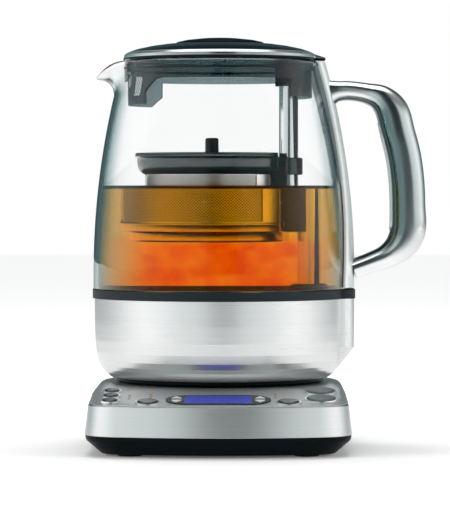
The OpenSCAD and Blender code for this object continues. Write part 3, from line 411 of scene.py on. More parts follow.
def plastic(name, color, rough, specular=0.5, metallic=0.0, grain=1800, bump=0.08, variation=0.12):
    look = {"Color": (*color, 1), "Grain Scale": grain, "Variation": variation}
    shader = {"Specular IOR Level": specular, "Metallic": metallic}
    return surfaceMaterial(name, grainGroup, look, rough, bump, shader)


def brushed(name, color, stretch, rough, metallic=1.0, bump=0.15, tones=(0.88, 1.0)):
    look = {"Color": (*color, 1), "Stretch": stretch, "Tone Low": tones[0], "Tone High": tones[1]}
    return surfaceMaterial(name, brushGroup, look, rough, bump, {"Metallic": metallic})


def glassMaterial(name, ior, shadow, density, absorb, glints, color=(1, 1, 1), roughness=0.0):
    # clear or tinted glass that lets lamps through to what is behind it
    material, tree, principled = newMaterial(name)
    feed(tree, principled, {"Base Color": (*color, 1), "Roughness": roughness, "IOR": ior,
                            "Transmission Weight": 1, "Specular Tint": (*glints, 1)})
    shadowRay = addNode(tree, "ShaderNodeLightPath").outputs["Is Shadow Ray"]
    clear = addNode(tree, "ShaderNodeBsdfTransparent", {"Color": (*shadow, 1)}).outputs[0]
    mix = addNode(tree, "ShaderNodeMixShader", {0: shadowRay, 1: principled.outputs[0], 2: clear})
    volume = addNode(tree, "ShaderNodeVolumeAbsorption", {"Color": (*absorb, 1), "Density": density})
    feed(tree, tree.nodes["Material Output"], {"Surface": mix.outputs[0], "Volume": volume.outputs[0]})
    return material


def recolor(material, change):
    # change gets the tree and the colour's present source, and returns the new one
    tree = material.node_tree
    socket = tree.nodes["Principled BSDF"].inputs["Base Color"]
    source = socket.links[0].from_socket if socket.links else None
    tree.links.new(change(tree, source), socket)


def paintLightByFacing(material, tones, clouds=False):
    # tones run from facing the viewer (0) to edge on (1): painted shade darkens the glass toward its edges,
    # and painted light makes the tea paler there
    def change(tree, source):
        facing = addNode(tree, "ShaderNodeLayerWeight", {"Blend": 0.5}).outputs["Facing"]
        color = colorRamp(tree, facing, tones)
        return groupNode(tree, cloudGroup, {"Color": color, "Facing": facing})["Color"] if clouds else color

    recolor(material, change)


def paintedHighlightBand(material, low, high, soft, color, strength):
    # painted highlight: a pale band round the shoulder, set by height, which also mirrors far more than the
    # plastic round it
    def change(tree, source):
        mask = groupNode(tree, heightGroup, {"Low": low*mm, "High": high*mm, "Soft": soft*mm})["Mask"]
        feed(tree, tree.nodes["Principled BSDF"], {"Metallic": mapRange(tree, mask, 0.0, strength)})
        return mixColor(tree, mask, source, (*color, 1))

    recolor(material, change)


def paintShadeInside(material, share):
    # painted shade: the face turned inward gets only this share of the colour
    def change(tree, source):
        inside = addNode(tree, "ShaderNodeNewGeometry").outputs["Backfacing"]
        return scaled(tree, source, mapRange(tree, inside, 1.0, share))

    recolor(material, change)


def paintLightRound(material, gripPaintedLight, armPaintedLight, shares):
    # painted highlights and shade: multiplies the colour by light and dark tones laid round the section, one
    # set for the grip and one for the arms
    def change(tree, source):
        x, y, z = split(tree, addNode(tree, "ShaderNodeUVMap", uv_map="wrap").outputs["UV"])
        tones = [colorRamp(tree, y, gripPaintedLight), colorRamp(tree, y, armPaintedLight)]
        return vectorCalc(tree, "MULTIPLY", source, mixColor(tree, colorRamp(tree, x, shares), *tones))

    recolor(material, change)


# rough holds the least and the greatest roughness
plastics = {
    "blackPlastic": dict(color=(0.0015, 0.004, 0.006), rough=(0.32, 0.42), specular=0.06),
    "glossBlack": dict(color=(0.003, 0.008, 0.01), rough=(0.1, 0.16), bump=0.02, specular=0.2),
    "lidGloss": dict(color=(0.002, 0.006, 0.008), rough=(0.1, 0.16), bump=0.02, specular=0.12),
    "lensBlack": dict(color=(0.001, 0.003, 0.004), rough=(0.3, 0.38), bump=0.02, specular=0.06),
    "silverPaint": dict(color=(0.56, 0.58, 0.58), rough=(0.28, 0.36), grain=2600, bump=0.05, variation=0.05,
                        metallic=0.75),
    "castHandle": dict(color=(0.72, 0.74, 0.74), rough=(0.16, 0.22), grain=900, bump=0.03, variation=0.05,
                       metallic=1.0),
    "displayBlue": dict(color=(0.02, 0.035, 0.42), rough=(0.2, 0.3), bump=0.0, specular=0.2),
    "greyPlastic": dict(color=(0.006, 0.02, 0.023), rough=(0.08, 0.12), bump=0.03, specular=0.7),
    "sealRubber": dict(color=(0.005, 0.012, 0.015), rough=(0.35, 0.45), bump=0.1, specular=0.25),
    "footRubber": dict(color=(0.02, 0.02, 0.02), rough=(0.6, 0.75), bump=0.2),
    # a dark fill inside the basket: painted shade behind its holes
    "wetLeaves": dict(color=(0.006, 0.004, 0.001), rough=(0.7, 0.9), grain=500, bump=0.6, variation=0.5,
                      specular=0.1),
    "keyGrey": dict(color=(0.006, 0.012, 0.014), rough=(0.14, 0.2), bump=0.05, specular=0.7),
    "keyTexture": dict(color=(0.07, 0.1, 0.105), rough=(0.3, 0.4), grain=900, bump=0.8, variation=0.4),
    "keyLight": dict(color=(0.75, 0.77, 0.77), rough=(0.2, 0.28), bump=0.02),
    # painted light seen through the flap's holes
    "paleInlay": dict(color=(0.8, 0.86, 0.85), rough=(0.3, 0.4), bump=0.0),
    "board": dict(color=(0.015, 0.09, 0.05), rough=(0.4, 0.5)),
    "nylon": dict(color=(0.7, 0.7, 0.66), rough=(0.4, 0.5)),
    "ledRed": dict(color=(0.32, 0.09, 0.06), rough=(0.3, 0.4)),
}
metals = {
    "bandSteel": dict(color=(0.8, 0.81, 0.81), stretch=(7, 7, 1400), rough=(0.26, 0.36)),
    "cupSteel": dict(color=(0.82, 0.83, 0.83), stretch=(9, 9, 1400), rough=(0.24, 0.34)),
    "polishedSteel": dict(color=(0.78, 0.79, 0.79), stretch=(300, 300, 12), rough=(0.08, 0.14), bump=0.03),
    "satinSteel": dict(color=(0.88, 0.92, 0.91), stretch=(60, 60, 700), rough=(0.34, 0.44), bump=0.05,
                       metallic=0.55),
    "ribLiner": dict(color=(0.16, 0.23, 0.24), stretch=(40, 40, 420), rough=(0.4, 0.5), bump=0.3,
                     tones=(0.05, 1.0), metallic=0.3),
    "meshSteel": dict(color=(0.86, 0.86, 0.85), stretch=(200, 200, 200), rough=(0.22, 0.3), bump=0.05),
    "trimChrome": dict(color=(0.85, 0.86, 0.86), stretch=(400, 400, 400), rough=(0.05, 0.1), bump=0.0),
    "contactMetal": dict(color=(0.75, 0.58, 0.28), stretch=(300, 300, 300), rough=(0.2, 0.3)),
    "dullSteel": dict(color=(0.42, 0.43, 0.44), stretch=(300, 300, 300), rough=(0.35, 0.45)),
}
glasses = {
    "jugGlass": dict(ior=1.47, shadow=(0.93, 0.95, 0.95), density=14, absorb=(0.3, 0.5, 0.5),
                     glints=(0.12, 0.14, 0.14)),
    "smokePlastic": dict(ior=1.3, shadow=(0.4, 0.45, 0.46), density=1150, absorb=(0.1, 0.24, 0.26),
                         glints=(0.9, 1, 1), color=(0.9, 0.95, 0.96), roughness=0.03),
    "tea": dict(ior=1.33, shadow=(0.9, 0.55, 0.12), density=6, absorb=(0.95, 0.66, 0.04),
                glints=(0.05, 0.05, 0.05)),
}
# own colour facing the viewer; toward edge on, painted shade on the glass and painted light on the tea
facingLightTones = {
    "jugGlass": [(0.0, (1, 1, 1)), (0.5, (1, 1, 1)), (0.68, (0.55, 0.66, 0.66)), (0.82, (0.26, 0.38, 0.38)),
                 (1.0, (0.2, 0.3, 0.3))],
    "tea": [(0.0, (0.8, 0.38, 0.003)), (0.12, (0.8, 0.38, 0.006)), (0.2, (0.75, 0.37, 0.02)),
            (0.34, (0.6, 0.38, 0.12)), (0.5, (0.46, 0.4, 0.24)), (0.72, (0.44, 0.48, 0.38)),
            (1.0, (0.52, 0.58, 0.52))],
}
extras = {
    # painted shade: share of the colour left on the basket wall's inner face
    "insideShadeShare": 0.07,
    "displayGlow": {"Emission Color": (0.0, 0.01, 0.5, 1), "Emission Strength": 0.06},
    # the lid shoulder's painted highlight, heights in millimetres
    "lidHighlight": dict(low=237.9, high=241.5, soft=0.5, color=(0.86, 0.93, 0.93), strength=0.95),
}
finishes = {
    "blackPlastic": ["base_tray", "swivel_connector", "tact_switches", "cord_gland", "connector_socket",
                     "jug_bottom_cover"],
    "glossBlack": ["display_bezel", "lid_cover", "lid_knob", "basket_lid_knob"],
    "greyPlastic": ["post_seat", "basket_collar", "basket_lid"],
    "silverPaint": ["control_deck"],
    "footRubber": ["rubber_feet"],
    "sealRubber": ["glass_seal_ring", "lid_seal"],
    "displayBlue": ["display_window"],
    "board": ["display_module", "control_board", "power_board"],
    "ledRed": ["indicator_leds"],
    "nylon": ["temperature_probe", "magnet_carriage"],
    "keyTexture": ["start_button", "hot_water_button"],
    "keyGrey": ["hour_button", "minute_button", "clock_button", "tea_type_button", "strength_button"],
    "keyLight": ["temp_up_key", "temp_down_key", "time_up_key", "time_down_key"],
    "bandSteel": ["steel_band"],
    "cupSteel": ["steel_cup"],
    "castHandle": ["handle_grip"],
    "satinSteel": ["handle_grip_insert"],
    "polishedSteel": ["handle_spine", "lift_post"],
    "meshSteel": ["basket_mesh"],
    "trimChrome": ["button_bezels", "carriage_magnets", "slider_magnets"],
    "contactMetal": ["connector_contacts", "socket_contacts", "motor_pinion"],
    "dullSteel": ["base_screws", "heater_plate", "heating_element", "handle_screws", "lift_motor",
                  "gearbox_bracket", "cup_screws", "lead_screw"],
    "smokePlastic": ["lid_skirt"],
    "jugGlass": ["glass_jug"],
}
materials = {}


def makeMaterials():
    for table, make in ((plastics, plastic), (metals, brushed), (glasses, glassMaterial)):
        for name, look in table.items():
            materials[name] = make(name, **look)
    for name, tones in facingLightTones.items():
        # glass and tea get painted edge shade and light by facing
        paintLightByFacing(materials[name], tones, clouds=name == "tea")
    # the lid gets a painted highlight band
    paintedHighlightBand(materials["lidGloss"], **extras["lidHighlight"])
    # the basket wall's inner face is darkened as painted shade
    paintShadeInside(materials["meshSteel"], extras["insideShadeShare"])
    display = materials["displayBlue"].node_tree
    feed(display, display.nodes["Principled BSDF"], extras["displayGlow"])


def dressNodes():
    # a CAD node keeps its mesh and takes its material
    for finish, names in finishes.items():
        for name in names:
            data = nodes[name].data
            data.materials.clear()
            data.materials.append(materials[finish])


makeMaterials()
dressNodes()
print("finishes set on", sum(len(names) for names in finishes.values()), "nodes")

# camera, at the photograph's height and distance
camera = {"azimuth": 0.5, "distance": 1.875, "height": 0.153, "aimX": 0.0031, "aimZ": 0.1133,
          "focalPixels": 3024, "framePixels": 520, "sensor": 36, "clipEnd": 50}


def makeCamera():
    angle = math.radians(camera["azimuth"])
    side = Vector((math.cos(angle), math.sin(angle), 0))
    away = Vector((math.sin(angle), -math.cos(angle), 0))
    data = bpy.data.cameras.new("photoCamera")
    data.sensor_width = camera["sensor"]
    data.lens = camera["focalPixels"]*camera["sensor"]/camera["framePixels"]
    data.clip_end = camera["clipEnd"]
    obj = newPiece("photoCamera", data)
    obj.location = side*camera["aimX"] + away*camera["distance"] + Vector((0, 0, camera["height"]))
    target = side*camera["aimX"] + Vector((0, 0, camera["aimZ"]))
    obj.rotation_euler = (target - obj.location).to_track_quat("-Z", "Y").to_euler()
    scene.camera = obj


makeCamera()

# lamps, floor and mirrored surroundings, in metres
studio = {
    # name, place, width, height and power
    "boxes": [("leftBox", (-1.5, -0.75, 0.45), 0.9, 1.3, 20),
              ("rightBox", (1.5, -0.6, 0.45), 0.8, 1.3, 15),
              ("topBox", (0, 0.5, 1.4), 1.1, 0.8, 14)],
    "aim": (0, 0, 0.12),
    # mirrored tones from straight in front (0) to straight behind (1)
    "turnTones": [(0.0, (0.72, 0.84, 0.83)), (0.065, (0.8, 0.89, 0.88)), (0.2, (0.98, 1.03, 1.02)),
                  (0.36, (1.22, 1.22, 1.22)), (0.52, (1.25, 1.25, 1.25)), (0.64, (0.8, 0.84, 0.84)),
                  (0.8, (0.26, 0.34, 0.35)), (1.0, (0.05, 0.1, 0.11))],
    "gapMiddle": 0.07, "gapEdges": (0.16, 0.3), "gapTone": (0.01, 0.02, 0.025, 1),
    "behindEdges": (-0.1, 0.1), "ceiling": 0.3, "ceilingEdges": (0.3, 0.5),
    "overhead": (1.9, 2.0, 2.0, 1), "overheadEdges": (0.8, 0.92),
    "fill": (0.5, 0.5, 0.5, 1), "white": (1, 1, 1, 1),
    "floorSize": 6, "floorGlow": (0.1, 0.5), "glowEdges": (0.16, 0.6),
    "floorLook": {"Base Color": (0.88, 0.88, 0.88, 1), "Roughness": 0.6, "Emission Color": (1, 1, 1, 1)},
}


def softbox(name, place, width, height, power):
    light = bpy.data.lights.new(name, "AREA")
    light.shape = "RECTANGLE"
    light.size = width
    light.size_y = height
    light.energy = power
    obj = newPiece(name, light)
    obj.location = place
    obj.rotation_euler = (Vector(studio["aim"]) - Vector(place)).to_track_quat("-Z", "Y").to_euler()
    obj.visible_glossy = False  # the world shows the softboxes with soft edges
    obj.visible_transmission = False


def makeWorld():
    # what the object mirrors: bright beside it, dimmer in front, dark behind, with a dark gap in front
    world = bpy.data.worlds.new("studio")
    scene.world = world
    world.use_nodes = True
    world.cycles.sampling_method = "NONE"  # so that mirror rays alone pick up the mirrored tones
    tree = world.node_tree
    x, y, z = split(tree, coordinates(tree, "Generated"))
    turnTone = colorRamp(tree, mapRange(tree, y, 0.0, 1.0, (-1, 1)), studio["turnTones"])
    offGap = calc(tree, "ABSOLUTE", calc(tree, "SUBTRACT", x, studio["gapMiddle"]))
    lit = mapRange(tree, offGap, 0.0, 1.0, studio["gapEdges"])
    behind = mapRange(tree, y, 0.0, 1.0, studio["behindEdges"])
    tones = mixColor(tree, calc(tree, "MAXIMUM", lit, behind), studio["gapTone"], turnTone)
    above = mapRange(tree, z, 1.0, studio["ceiling"], studio["ceilingEdges"])
    overhead = mapRange(tree, z, 0.0, 1.0, studio["overheadEdges"])
    mirrored = mixColor(tree, overhead, scaled(tree, tones, above), studio["overhead"])
    path = addNode(tree, "ShaderNodeLightPath").outputs
    mirrorRay = calc(tree, "MAXIMUM", path["Is Glossy Ray"], path["Is Transmission Ray"])
    lighting = mixColor(tree, mirrorRay, studio["fill"], mirrored)
    # light that came straight through, unreflected, shows the white background from every side
    straight = mapRange(tree, path["Glossy Depth"], 1.0, 0.0)
    through = calc(tree, "MULTIPLY", path["Is Transmission Ray"], straight)
    seen = calc(tree, "MAXIMUM", path["Is Camera Ray"], through)
    feed(tree, tree.nodes["Background"], {"Color": mixColor(tree, seen, lighting, studio["white"])})


def makeFloor():
    # a floor that glows white away from the object and keeps its shadow
    half = studio["floorSize"]/mm
    corners = [(-half, -half, 0), (half, -half, 0), (half, half, 0), (-half, half, 0)]
    material, tree, principled = newMaterial("floorWhite")
    path = addNode(tree, "ShaderNodeLightPath").outputs
    seen = calc(tree, "MAXIMUM", path["Is Camera Ray"], path["Is Transmission Ray"])
    length = addNode(tree, "ShaderNodeVectorMath", {0: coordinates(tree)}, operation="LENGTH")
    grown = mapRange(tree, length.outputs["Value"], *studio["floorGlow"], studio["glowEdges"])
    glow = calc(tree, "MULTIPLY", grown, seen)
    feed(tree, principled, {**studio["floorLook"], "Emission Strength": glow})
    floor = meshPiece("floor", corners, [(0, 1, 2, 3)], material)


for box in studio["boxes"]:
    softbox(*box)
makeWorld()
makeFloor()
print("stage set")

# glass body
jug = {
    "radius": 78.4, "wall": 2.6, "crownRadius": 480, "crownStart": 105, "footZ": 91.5, "footTop": 95.8,
    "footInset": 1.1, "stepLow": 0.3, "stepHigh": 0.1,  # the foot is narrower, with a step to the wall
    "rimZ": 236, "spoutZ": 215, "reach": 17.4,
    "drop": 11.2, "dropPower": 2.5, "halfAngle": 26,
    "segments": 240, "bodyRows": 30, "spoutRows": 14, "rimSteps": 8,
}


def bodyOut(z):
    # the wall's outer radius above the foot
    rise = max(z - jug["crownStart"], 0)
    return jug["radius"] - (jug["crownRadius"] - math.sqrt(jug["crownRadius"]**2 - rise**2))


def makeSpoutTree():
    # pulls the rim out and down round the -X side, fading with height and angle
    tree, ins, outs = newTree("spoutPull", [
        ("Start Height", "Float", 0.215), ("Rim Height", "Float", 0.236), ("Reach", "Float", 0.016),
        ("Drop", "Float", 0.011), ("Drop Power", "Float", 2.5), ("Taper", "Float", -0.005),
        ("Half Angle", "Float", 0.45), ("Material", "Material", None)])
    x, y, z = split(tree, addNode(tree, "GeometryNodeInputPosition").outputs[0])
    height = calc(tree, "SUBTRACT", ins["Rim Height"], ins["Start Height"])
    rise = calc(tree, "DIVIDE", calc(tree, "SUBTRACT", z, ins["Start Height"]), height)
    t = calc(tree, "MINIMUM", calc(tree, "MAXIMUM", rise, 0.0), 1.0)
    angle = calc(tree, "ABSOLUTE", calc(tree, "ARCTAN2", y, calc(tree, "MULTIPLY", x, -1.0)))
    share = calc(tree, "MINIMUM", calc(tree, "DIVIDE", angle, ins["Half Angle"]), 1.0)
    swing = calc(tree, "COSINE", calc(tree, "MULTIPLY", share, math.pi))
    weight = calc(tree, "MULTIPLY_ADD", swing, 0.5, 0.5)
    squared = calc(tree, "MULTIPLY", t, t)
    pull = calc(tree, "MULTIPLY", calc(tree, "ADD", ins["Taper"], ins["Reach"]), squared)
    pull = calc(tree, "SUBTRACT", pull, calc(tree, "MULTIPLY", ins["Taper"], t))
    away = vectorCalc(tree, "NORMALIZE", combine(tree, x, y))
    push = scaled(tree, away, calc(tree, "MULTIPLY", pull, weight))
    slump = calc(tree, "MULTIPLY", ins["Drop"], squared)
    slump = calc(tree, "MULTIPLY", slump, calc(tree, "POWER", weight, ins["Drop Power"]))
    offset = vectorCalc(tree, "ADD", push, combine(tree, z=calc(tree, "MULTIPLY", slump, -1.0)))
    return finishTree(tree, setPosition(tree, ins["Geometry"], Offset=offset), ins["Material"], outs)


def makeGlass():
    wall = jug["wall"]
    top = jug["rimZ"] - wall/2
    foot = [jug["footZ"], jug["footTop"] - jug["stepLow"]]
    side = [jug["footTop"] + jug["stepHigh"]] + spread(jug["footTop"], jug["spoutZ"], jug["bodyRows"])[1:-1]
    side += spread(jug["spoutZ"], top, jug["spoutRows"])
    outer = [(bodyOut(z) - jug["footInset"], z) for z in foot] + [(bodyOut(z), z) for z in side]
    rim = []
    for k in range(1, jug["rimSteps"]):
        angle = math.pi*k/jug["rimSteps"]
        rim.append((bodyOut(top) - wall/2 + wall/2*math.cos(angle), top + wall/2*math.sin(angle)))
    inner = [(bodyOut(z) - wall, z) for z in reversed(foot + side)]
    piece = profileMesh("glassBody", outer + rim + inner, closed=True)
    runTree(piece, turnedTree, {"Segments": jug["segments"], "Material": materials["jugGlass"]})
    runTree(piece, makeSpoutTree(), {
        "Start Height": jug["spoutZ"]*mm, "Rim Height": jug["rimZ"]*mm, "Reach": jug["reach"]*mm,
        "Drop": jug["drop"]*mm, "Drop Power": jug["dropPower"], "Half Angle": math.radians(jug["halfAngle"]),
        "Taper": (bodyOut(jug["rimZ"]) - bodyOut(jug["spoutZ"]))*mm, "Material": materials["jugGlass"]})
    outward(applyModifiers(piece), 50)
    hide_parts("glass_jug")
    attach(piece, "jug")


makeGlass()

# tea, which climbs a little where it meets the glass
tea = {"level": 157, "bottom": 96.2, "gap": 0.25, "meniscus": 2.2, "meniscusWide": 3.2, "climbSteps": 6,
       "sideDrop": 2, "sideRows": 16}


def makeTea():
    def wall(z):
        return bodyOut(z) - jug["wall"] - tea["gap"]

    sides = spread(tea["bottom"], tea["level"] - tea["sideDrop"], tea["sideRows"])
    profile = [(0, tea["bottom"])] + [(wall(z), z) for z in sides]
    for left in spread(1, 0, tea["climbSteps"]):
        z = tea["level"] + tea["meniscus"]*left**3
        profile.append((wall(z) - tea["meniscusWide"]*(1 - left**2), z))
    piece = turned("teaInJug", profile + [(0, tea["level"])], materials["tea"], sharp=60)
    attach(piece, "jug")


makeTea()
print("glass and tea made")

# power base shell: tray, steel band and silver deck, one plan with smooth corners
base = {
    "width": 158, "front": 124, "back": 84, "frontCorner": 26, "backCorner": 58, "bow": 8, "bowShare": 0.26,
    "cornerSteps": 20, "bowSteps": 12, "sideSteps": 5, "sidePitch": 18.2,
    # heights from the tray's bottom and insets past its chamfer, then from the chamfer's top and insets
    "trayBottom": 1.2, "trayTop": 12.3, "trayChamfer": 9, "trayLip": (0.4, 3.0),
    "trayFoot": [(3, 4), (0, 2.4), (0.1, 1.4), (0.5, 0.6)],
    "trayEdge": [(-1.6, 1.5), (-0.7, 0.8), (0.4, 0.45)],
    # heights from the band's own edges, and insets past its flare at the top
    "bandTop": 29.8, "flare": 2, "bandWall": 1.2,
    "bandFoot": [(0, 0.25), (0.3, 0)], "bandLip": [(-0.1, -0.05), (0, 0.1)],
    "deckTop": 37.8, "panelStart": 66, "panelAngle": 8, "panelEase": 4, "seam": 0.9, "seamRise": 0.04,
    "lipDrop": 3, "lipUnder": 0.2, "lipInsets": (3.8, 2.5), "deckCentre": (0, -22), "deckRows": 24,
    # drops under the deck's top and insets
    "shoulder": [(6.0, 2.3), (4.4, 2.6), (3.0, 3.05), (1.8, 3.8), (0.9, 4.9), (0.3, 6.3), (0.05, 7.6),
                 (0, 9)],
}


def planRing(inset):
    # back corners, front corners and the bow between them, anticlockwise from +X
    halfWidth = base["width"]/2
    front = base["frontCorner"]
    back = base["backCorner"]
    bowHalf = halfWidth - front
    lean = math.atan(2*base["bow"]/(bowHalf + front*base["bowShare"]))
    bowReach = bowHalf + front*math.sin(lean)
    sag = bowReach*math.tan(lean)/2
    frontY = sag + front*math.cos(lean) - base["front"]
    backX = halfWidth - back
    backY = base["back"] - back
    turn = math.degrees(lean)
    side = [backY - base["sidePitch"]*k for k in range(1, base["sideSteps"] + 1)]
    corners = [(backX, backY, back, 0, 90), (-backX, backY, back, 90, 180),
               (-bowHalf, frontY, front, 180, 270 - turn), (bowHalf, frontY, front, 270 + turn, 360)]
    ring = []
    for x, y, radius, start, end in corners:
        if start == 180:
            ring += [(inset - halfWidth, place) for place in side]
        if end == 360:
            for share in spread(-1, 1, 2*base["bowSteps"])[1:-1]:
                slope = 2*sag*share/bowReach
                size = math.hypot(1, slope)
                bowY = sag*share**2 - base["front"]
                ring.append((bowReach*share - inset*slope/size, bowY + inset/size))
        for angle in spread(math.radians(start), math.radians(end), base["cornerSteps"]):
            ring.append((x + (radius - inset)*math.cos(angle), y + (radius - inset)*math.sin(angle)))
    return ring + [(halfWidth - inset, place) for place in reversed(side)]


def level(z, inset):
    return [(x, y, z) for x, y in planRing(inset)]


def deckHeight(y):
    # flat under the jug, then one plane down to the front, eased where they meet
    fall = math.tan(math.radians(base["panelAngle"]))
    past = -y - base["panelStart"]
    return base["deckTop"] - fall*(math.sqrt(past*past + base["panelEase"]**2) + past)/2


def makeTray():
    foot = base["trayBottom"]
    chamfer = base["trayChamfer"]
    profile = [(foot + up, chamfer + inset) for up, inset in base["trayFoot"]]
    profile += [(foot + chamfer + up, inset) for up, inset in base["trayEdge"]]
    profile += [(base["trayTop"], inset) for inset in base["trayLip"]]
    rings = [level(z, inset) for z, inset in profile]
    shell = ringShell("trayShell", rings, materials["blackPlastic"], closed=True, sharp=50)
    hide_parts("base_tray")
    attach(shell, "power_base")


def makeBand():
    low = base["trayTop"]
    top = base["bandTop"]
    profile = [(low + up, inset) for up, inset in base["bandFoot"]]
    profile += [(top + up, base["flare"] + inset) for up, inset in base["bandLip"]]
    profile += [(top, base["flare"] + base["bandWall"]), (low, base["bandWall"])]
    rings = [level(z, inset) for z, inset in profile]
    sheet = ringShell("bandSheet", rings, materials["bandSteel"], closed=True, sharp=30)
    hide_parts("steel_band")
    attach(sheet, "power_base")


def makeDeck():
    # the skin is one sheet: under the lip, up the shoulder, then rings closing over the top
    top = base["bandTop"]
    seam = top + base["seam"]
    deep, shallow = base["lipInsets"]
    under = seam - base["lipUnder"]
    rings = [level(top - base["lipDrop"], deep), level(under, deep), level(under, shallow)]
    for drop, inset in base["shoulder"]:
        foot = seam + inset*base["seamRise"]
        rings.append([(x, y, max(foot, deckHeight(y) - drop)) for x, y in planRing(inset)])
    centreX, centreY = base["deckCentre"]
    edge = planRing(base["shoulder"][-1][1])
    for share in spread(0, 1, base["deckRows"])[1:-1]:
        ring = [(x + (centreX - x)*share, y + (centreY - y)*share) for x, y in edge]
        rings.append([(x, y, deckHeight(y)) for x, y in ring])
    skin = ringShell("deckSkin", rings, materials["silverPaint"], sharp=40)
    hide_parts("control_deck")
    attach(skin, "power_base")


makeTray()
makeBand()
makeDeck()
print("base shell made")

# handle: smooth grip with painted highlights and shade, satin spine and a ribbed dark liner against the glass
# that also paints the spine's dark reflection


def bothWays(tones):
    # tones over half a turn, then the same ones back
    return tones + [(1 - place, tone) for place, tone in reversed(tones)]


handle = {
    # stations along the grip's middle: x, z, thickness and width
    "stations": [(68.5, 216.8, 16.5, 16), (73, 217.7, 12.8, 16), (80.5, 218, 12, 17), (91, 216.4, 12.8, 19),
                 (100, 213, 17, 21.5), (106.6, 205.2, 20.6, 23), (110.3, 192, 21, 24),
                 (113.9, 177.5, 21.2, 24), (115.9, 162, 21.3, 24), (116.5, 147, 21.4, 24),
                 (116.4, 132, 22, 24), (112, 122.6, 19.5, 24), (103.7, 116, 14.8, 24), (94, 112, 12.6, 25),
                 (82.5, 107.9, 12, 27)],
    "steps": 6, "sides": 48, "power": 0.76,
    # half widths by height
    "spineHalf": [(96, 21.5), (101, 21), (126, 17), (150, 12), (175, 9), (205, 8.6), (236, 10)],
    "linerHalf": [(150, 0.2), (162, 16), (200, 21), (226, 23), (233, 20)],
    "spineBottom": 96.6, "spineTop": 235.6, "spineRows": 40, "spineSide": 14, "spineThick": 4.6,
    "spineEdge": 0.8, "spinePower": 0.45, "glassGap": 0.3,
    "inwardX": -0.6, "inwardZ": 0.7,  # a spine face that points this far inward is ribbed too
    "linerGap": 0.06, "linerThick": 0.2, "linerRows": 60, "linerColumns": 20,
    # painted highlights and shade round the section, from its outer side (0) to its inner side (0.5)
    "gripPaintedLight": bothWays([(0.0, (0.2, 0.25, 0.25)), (0.03, (0.75, 0.78, 0.78)), (0.08, (0.95, 0.95, 0.95)),
                           (0.2, (0.9, 0.92, 0.92)), (0.28, (0.26, 0.36, 0.37)), (0.4, (0.1, 0.17, 0.18)),
                           (0.47, (0.35, 0.4, 0.4))]),
    "armPaintedLight": bothWays([(0.0, (0.2, 0.25, 0.25)), (0.04, (0.6, 0.64, 0.64)), (0.1, (1.3, 1.3, 1.3)),
                          (0.3, (1.3, 1.3, 1.3)), (0.38, (0.07, 0.1, 0.11)), (0.43, (0.07, 0.1, 0.11)),
                          (0.48, (0.8, 0.85, 0.85))]),
    # where along the handle the arms' painted tones hold (1) and where the grip's do (0)
    "armLightShares": [(0.0, (1, 1, 1)), (0.2, (1, 1, 1)), (0.34, (0, 0, 0)), (0.74, (0, 0, 0)), (0.86, (1, 1, 1)),
                  (1.0, (1, 1, 1))],
}


def curvePoint(points, k, t):
    # Catmull-Rom between points k and k + 1
    last = len(points) - 1
    near = [points[max(0, min(last, i))] for i in range(k - 1, k + 3)]
    return tuple(0.5*(2*b + (c - a)*t + (2*a - 5*b + 4*c - d)*t*t + (3*b - a - 3*c + d)*t**3)
                 for a, b, c, d in zip(*near))


def wrapMap(piece, rings, count):
    # u runs along the rings, v round them
    layer = piece.data.uv_layers.new(name="wrap")
    for polygon in piece.data.polygons:
        places = [divmod(piece.data.loops[i].vertex_index, count) for i in polygon.loop_indices]
        columns = [column for row, column in places]
        across = 0 in columns and count - 1 in columns
        for i, (row, column) in zip(polygon.loop_indices, places):
            layer.data[i].uv = (row/(rings - 1), 1.0 if across and column == 0 else column/count)


def gripRings():
    path = []
    for k in range(len(handle["stations"]) - 1):
        path += [curvePoint(handle["stations"], k, t) for t in spread(0, 1, handle["steps"])[:-1]]
    path.append(handle["stations"][-1])
    rings = []
    for i, (x, z, thick, wide) in enumerate(path):
        before, after = path[max(i - 1, 0)], path[min(i + 1, len(path) - 1)]
        along = Vector((after[0] - before[0], after[1] - before[1])).normalized()
        normal = (-along[1], along[0])
        ring = []
        for j in range(handle["sides"]):
            angle = 2*math.pi*j/handle["sides"]
            cosine, sine = math.cos(angle), math.sin(angle)
            u = thick/2*math.copysign(abs(cosine)**handle["power"], cosine)
            v = wide/2*math.copysign(abs(sine)**handle["power"], sine)
            ring.append((x + normal[0]*u, v, z + normal[1]*u))
        rings.append(ring)
    return rings


def around(radius, angle, z):
    return (radius*math.cos(angle), radius*math.sin(angle), z)


def spineRing(z):
    radius = bodyOut(z) + handle["glassGap"]
    half = math.asin(lookupLine(handle["spineHalf"], z)/radius)
    ring = [around(radius, half*share, z) for share in spread(1, -1, handle["spineSide"])]
    for share in spread(-0.5, 0.5, handle["spineSide"]):
        side = math.sin(math.pi*share)
        bulge = (handle["spineThick"] - handle["spineEdge"])*(1 - side*side)**handle["spinePower"]
        ring.append(around(radius + handle["spineEdge"] + bulge, half*side, z))
    return ring


def linerRing(z):
    # a thin curved strip: along its inner face, then back along its outer face
    half = lookupLine(handle["linerHalf"], z)
    ring = []
    for layer, turn in ((handle["linerGap"], 1), (handle["linerGap"] + handle["linerThick"], -1)):
        radius = bodyOut(z) + layer
        shares = spread(turn, -turn, handle["linerColumns"])
        ring += [around(radius, half/radius*share, z) for share in shares]
    return ring


def makeGrip():
    rings = gripRings()
    # the grip's colour gets painted highlights and shade round its section
    paintLightRound(materials["castHandle"], handle["gripPaintedLight"], handle["armPaintedLight"], handle["armLightShares"])
    grip = ringShell("gripBody", rings, materials["castHandle"], sharp=45)
    wrapMap(grip, len(rings), handle["sides"])
    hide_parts("handle_grip")
    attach(grip, "jug")


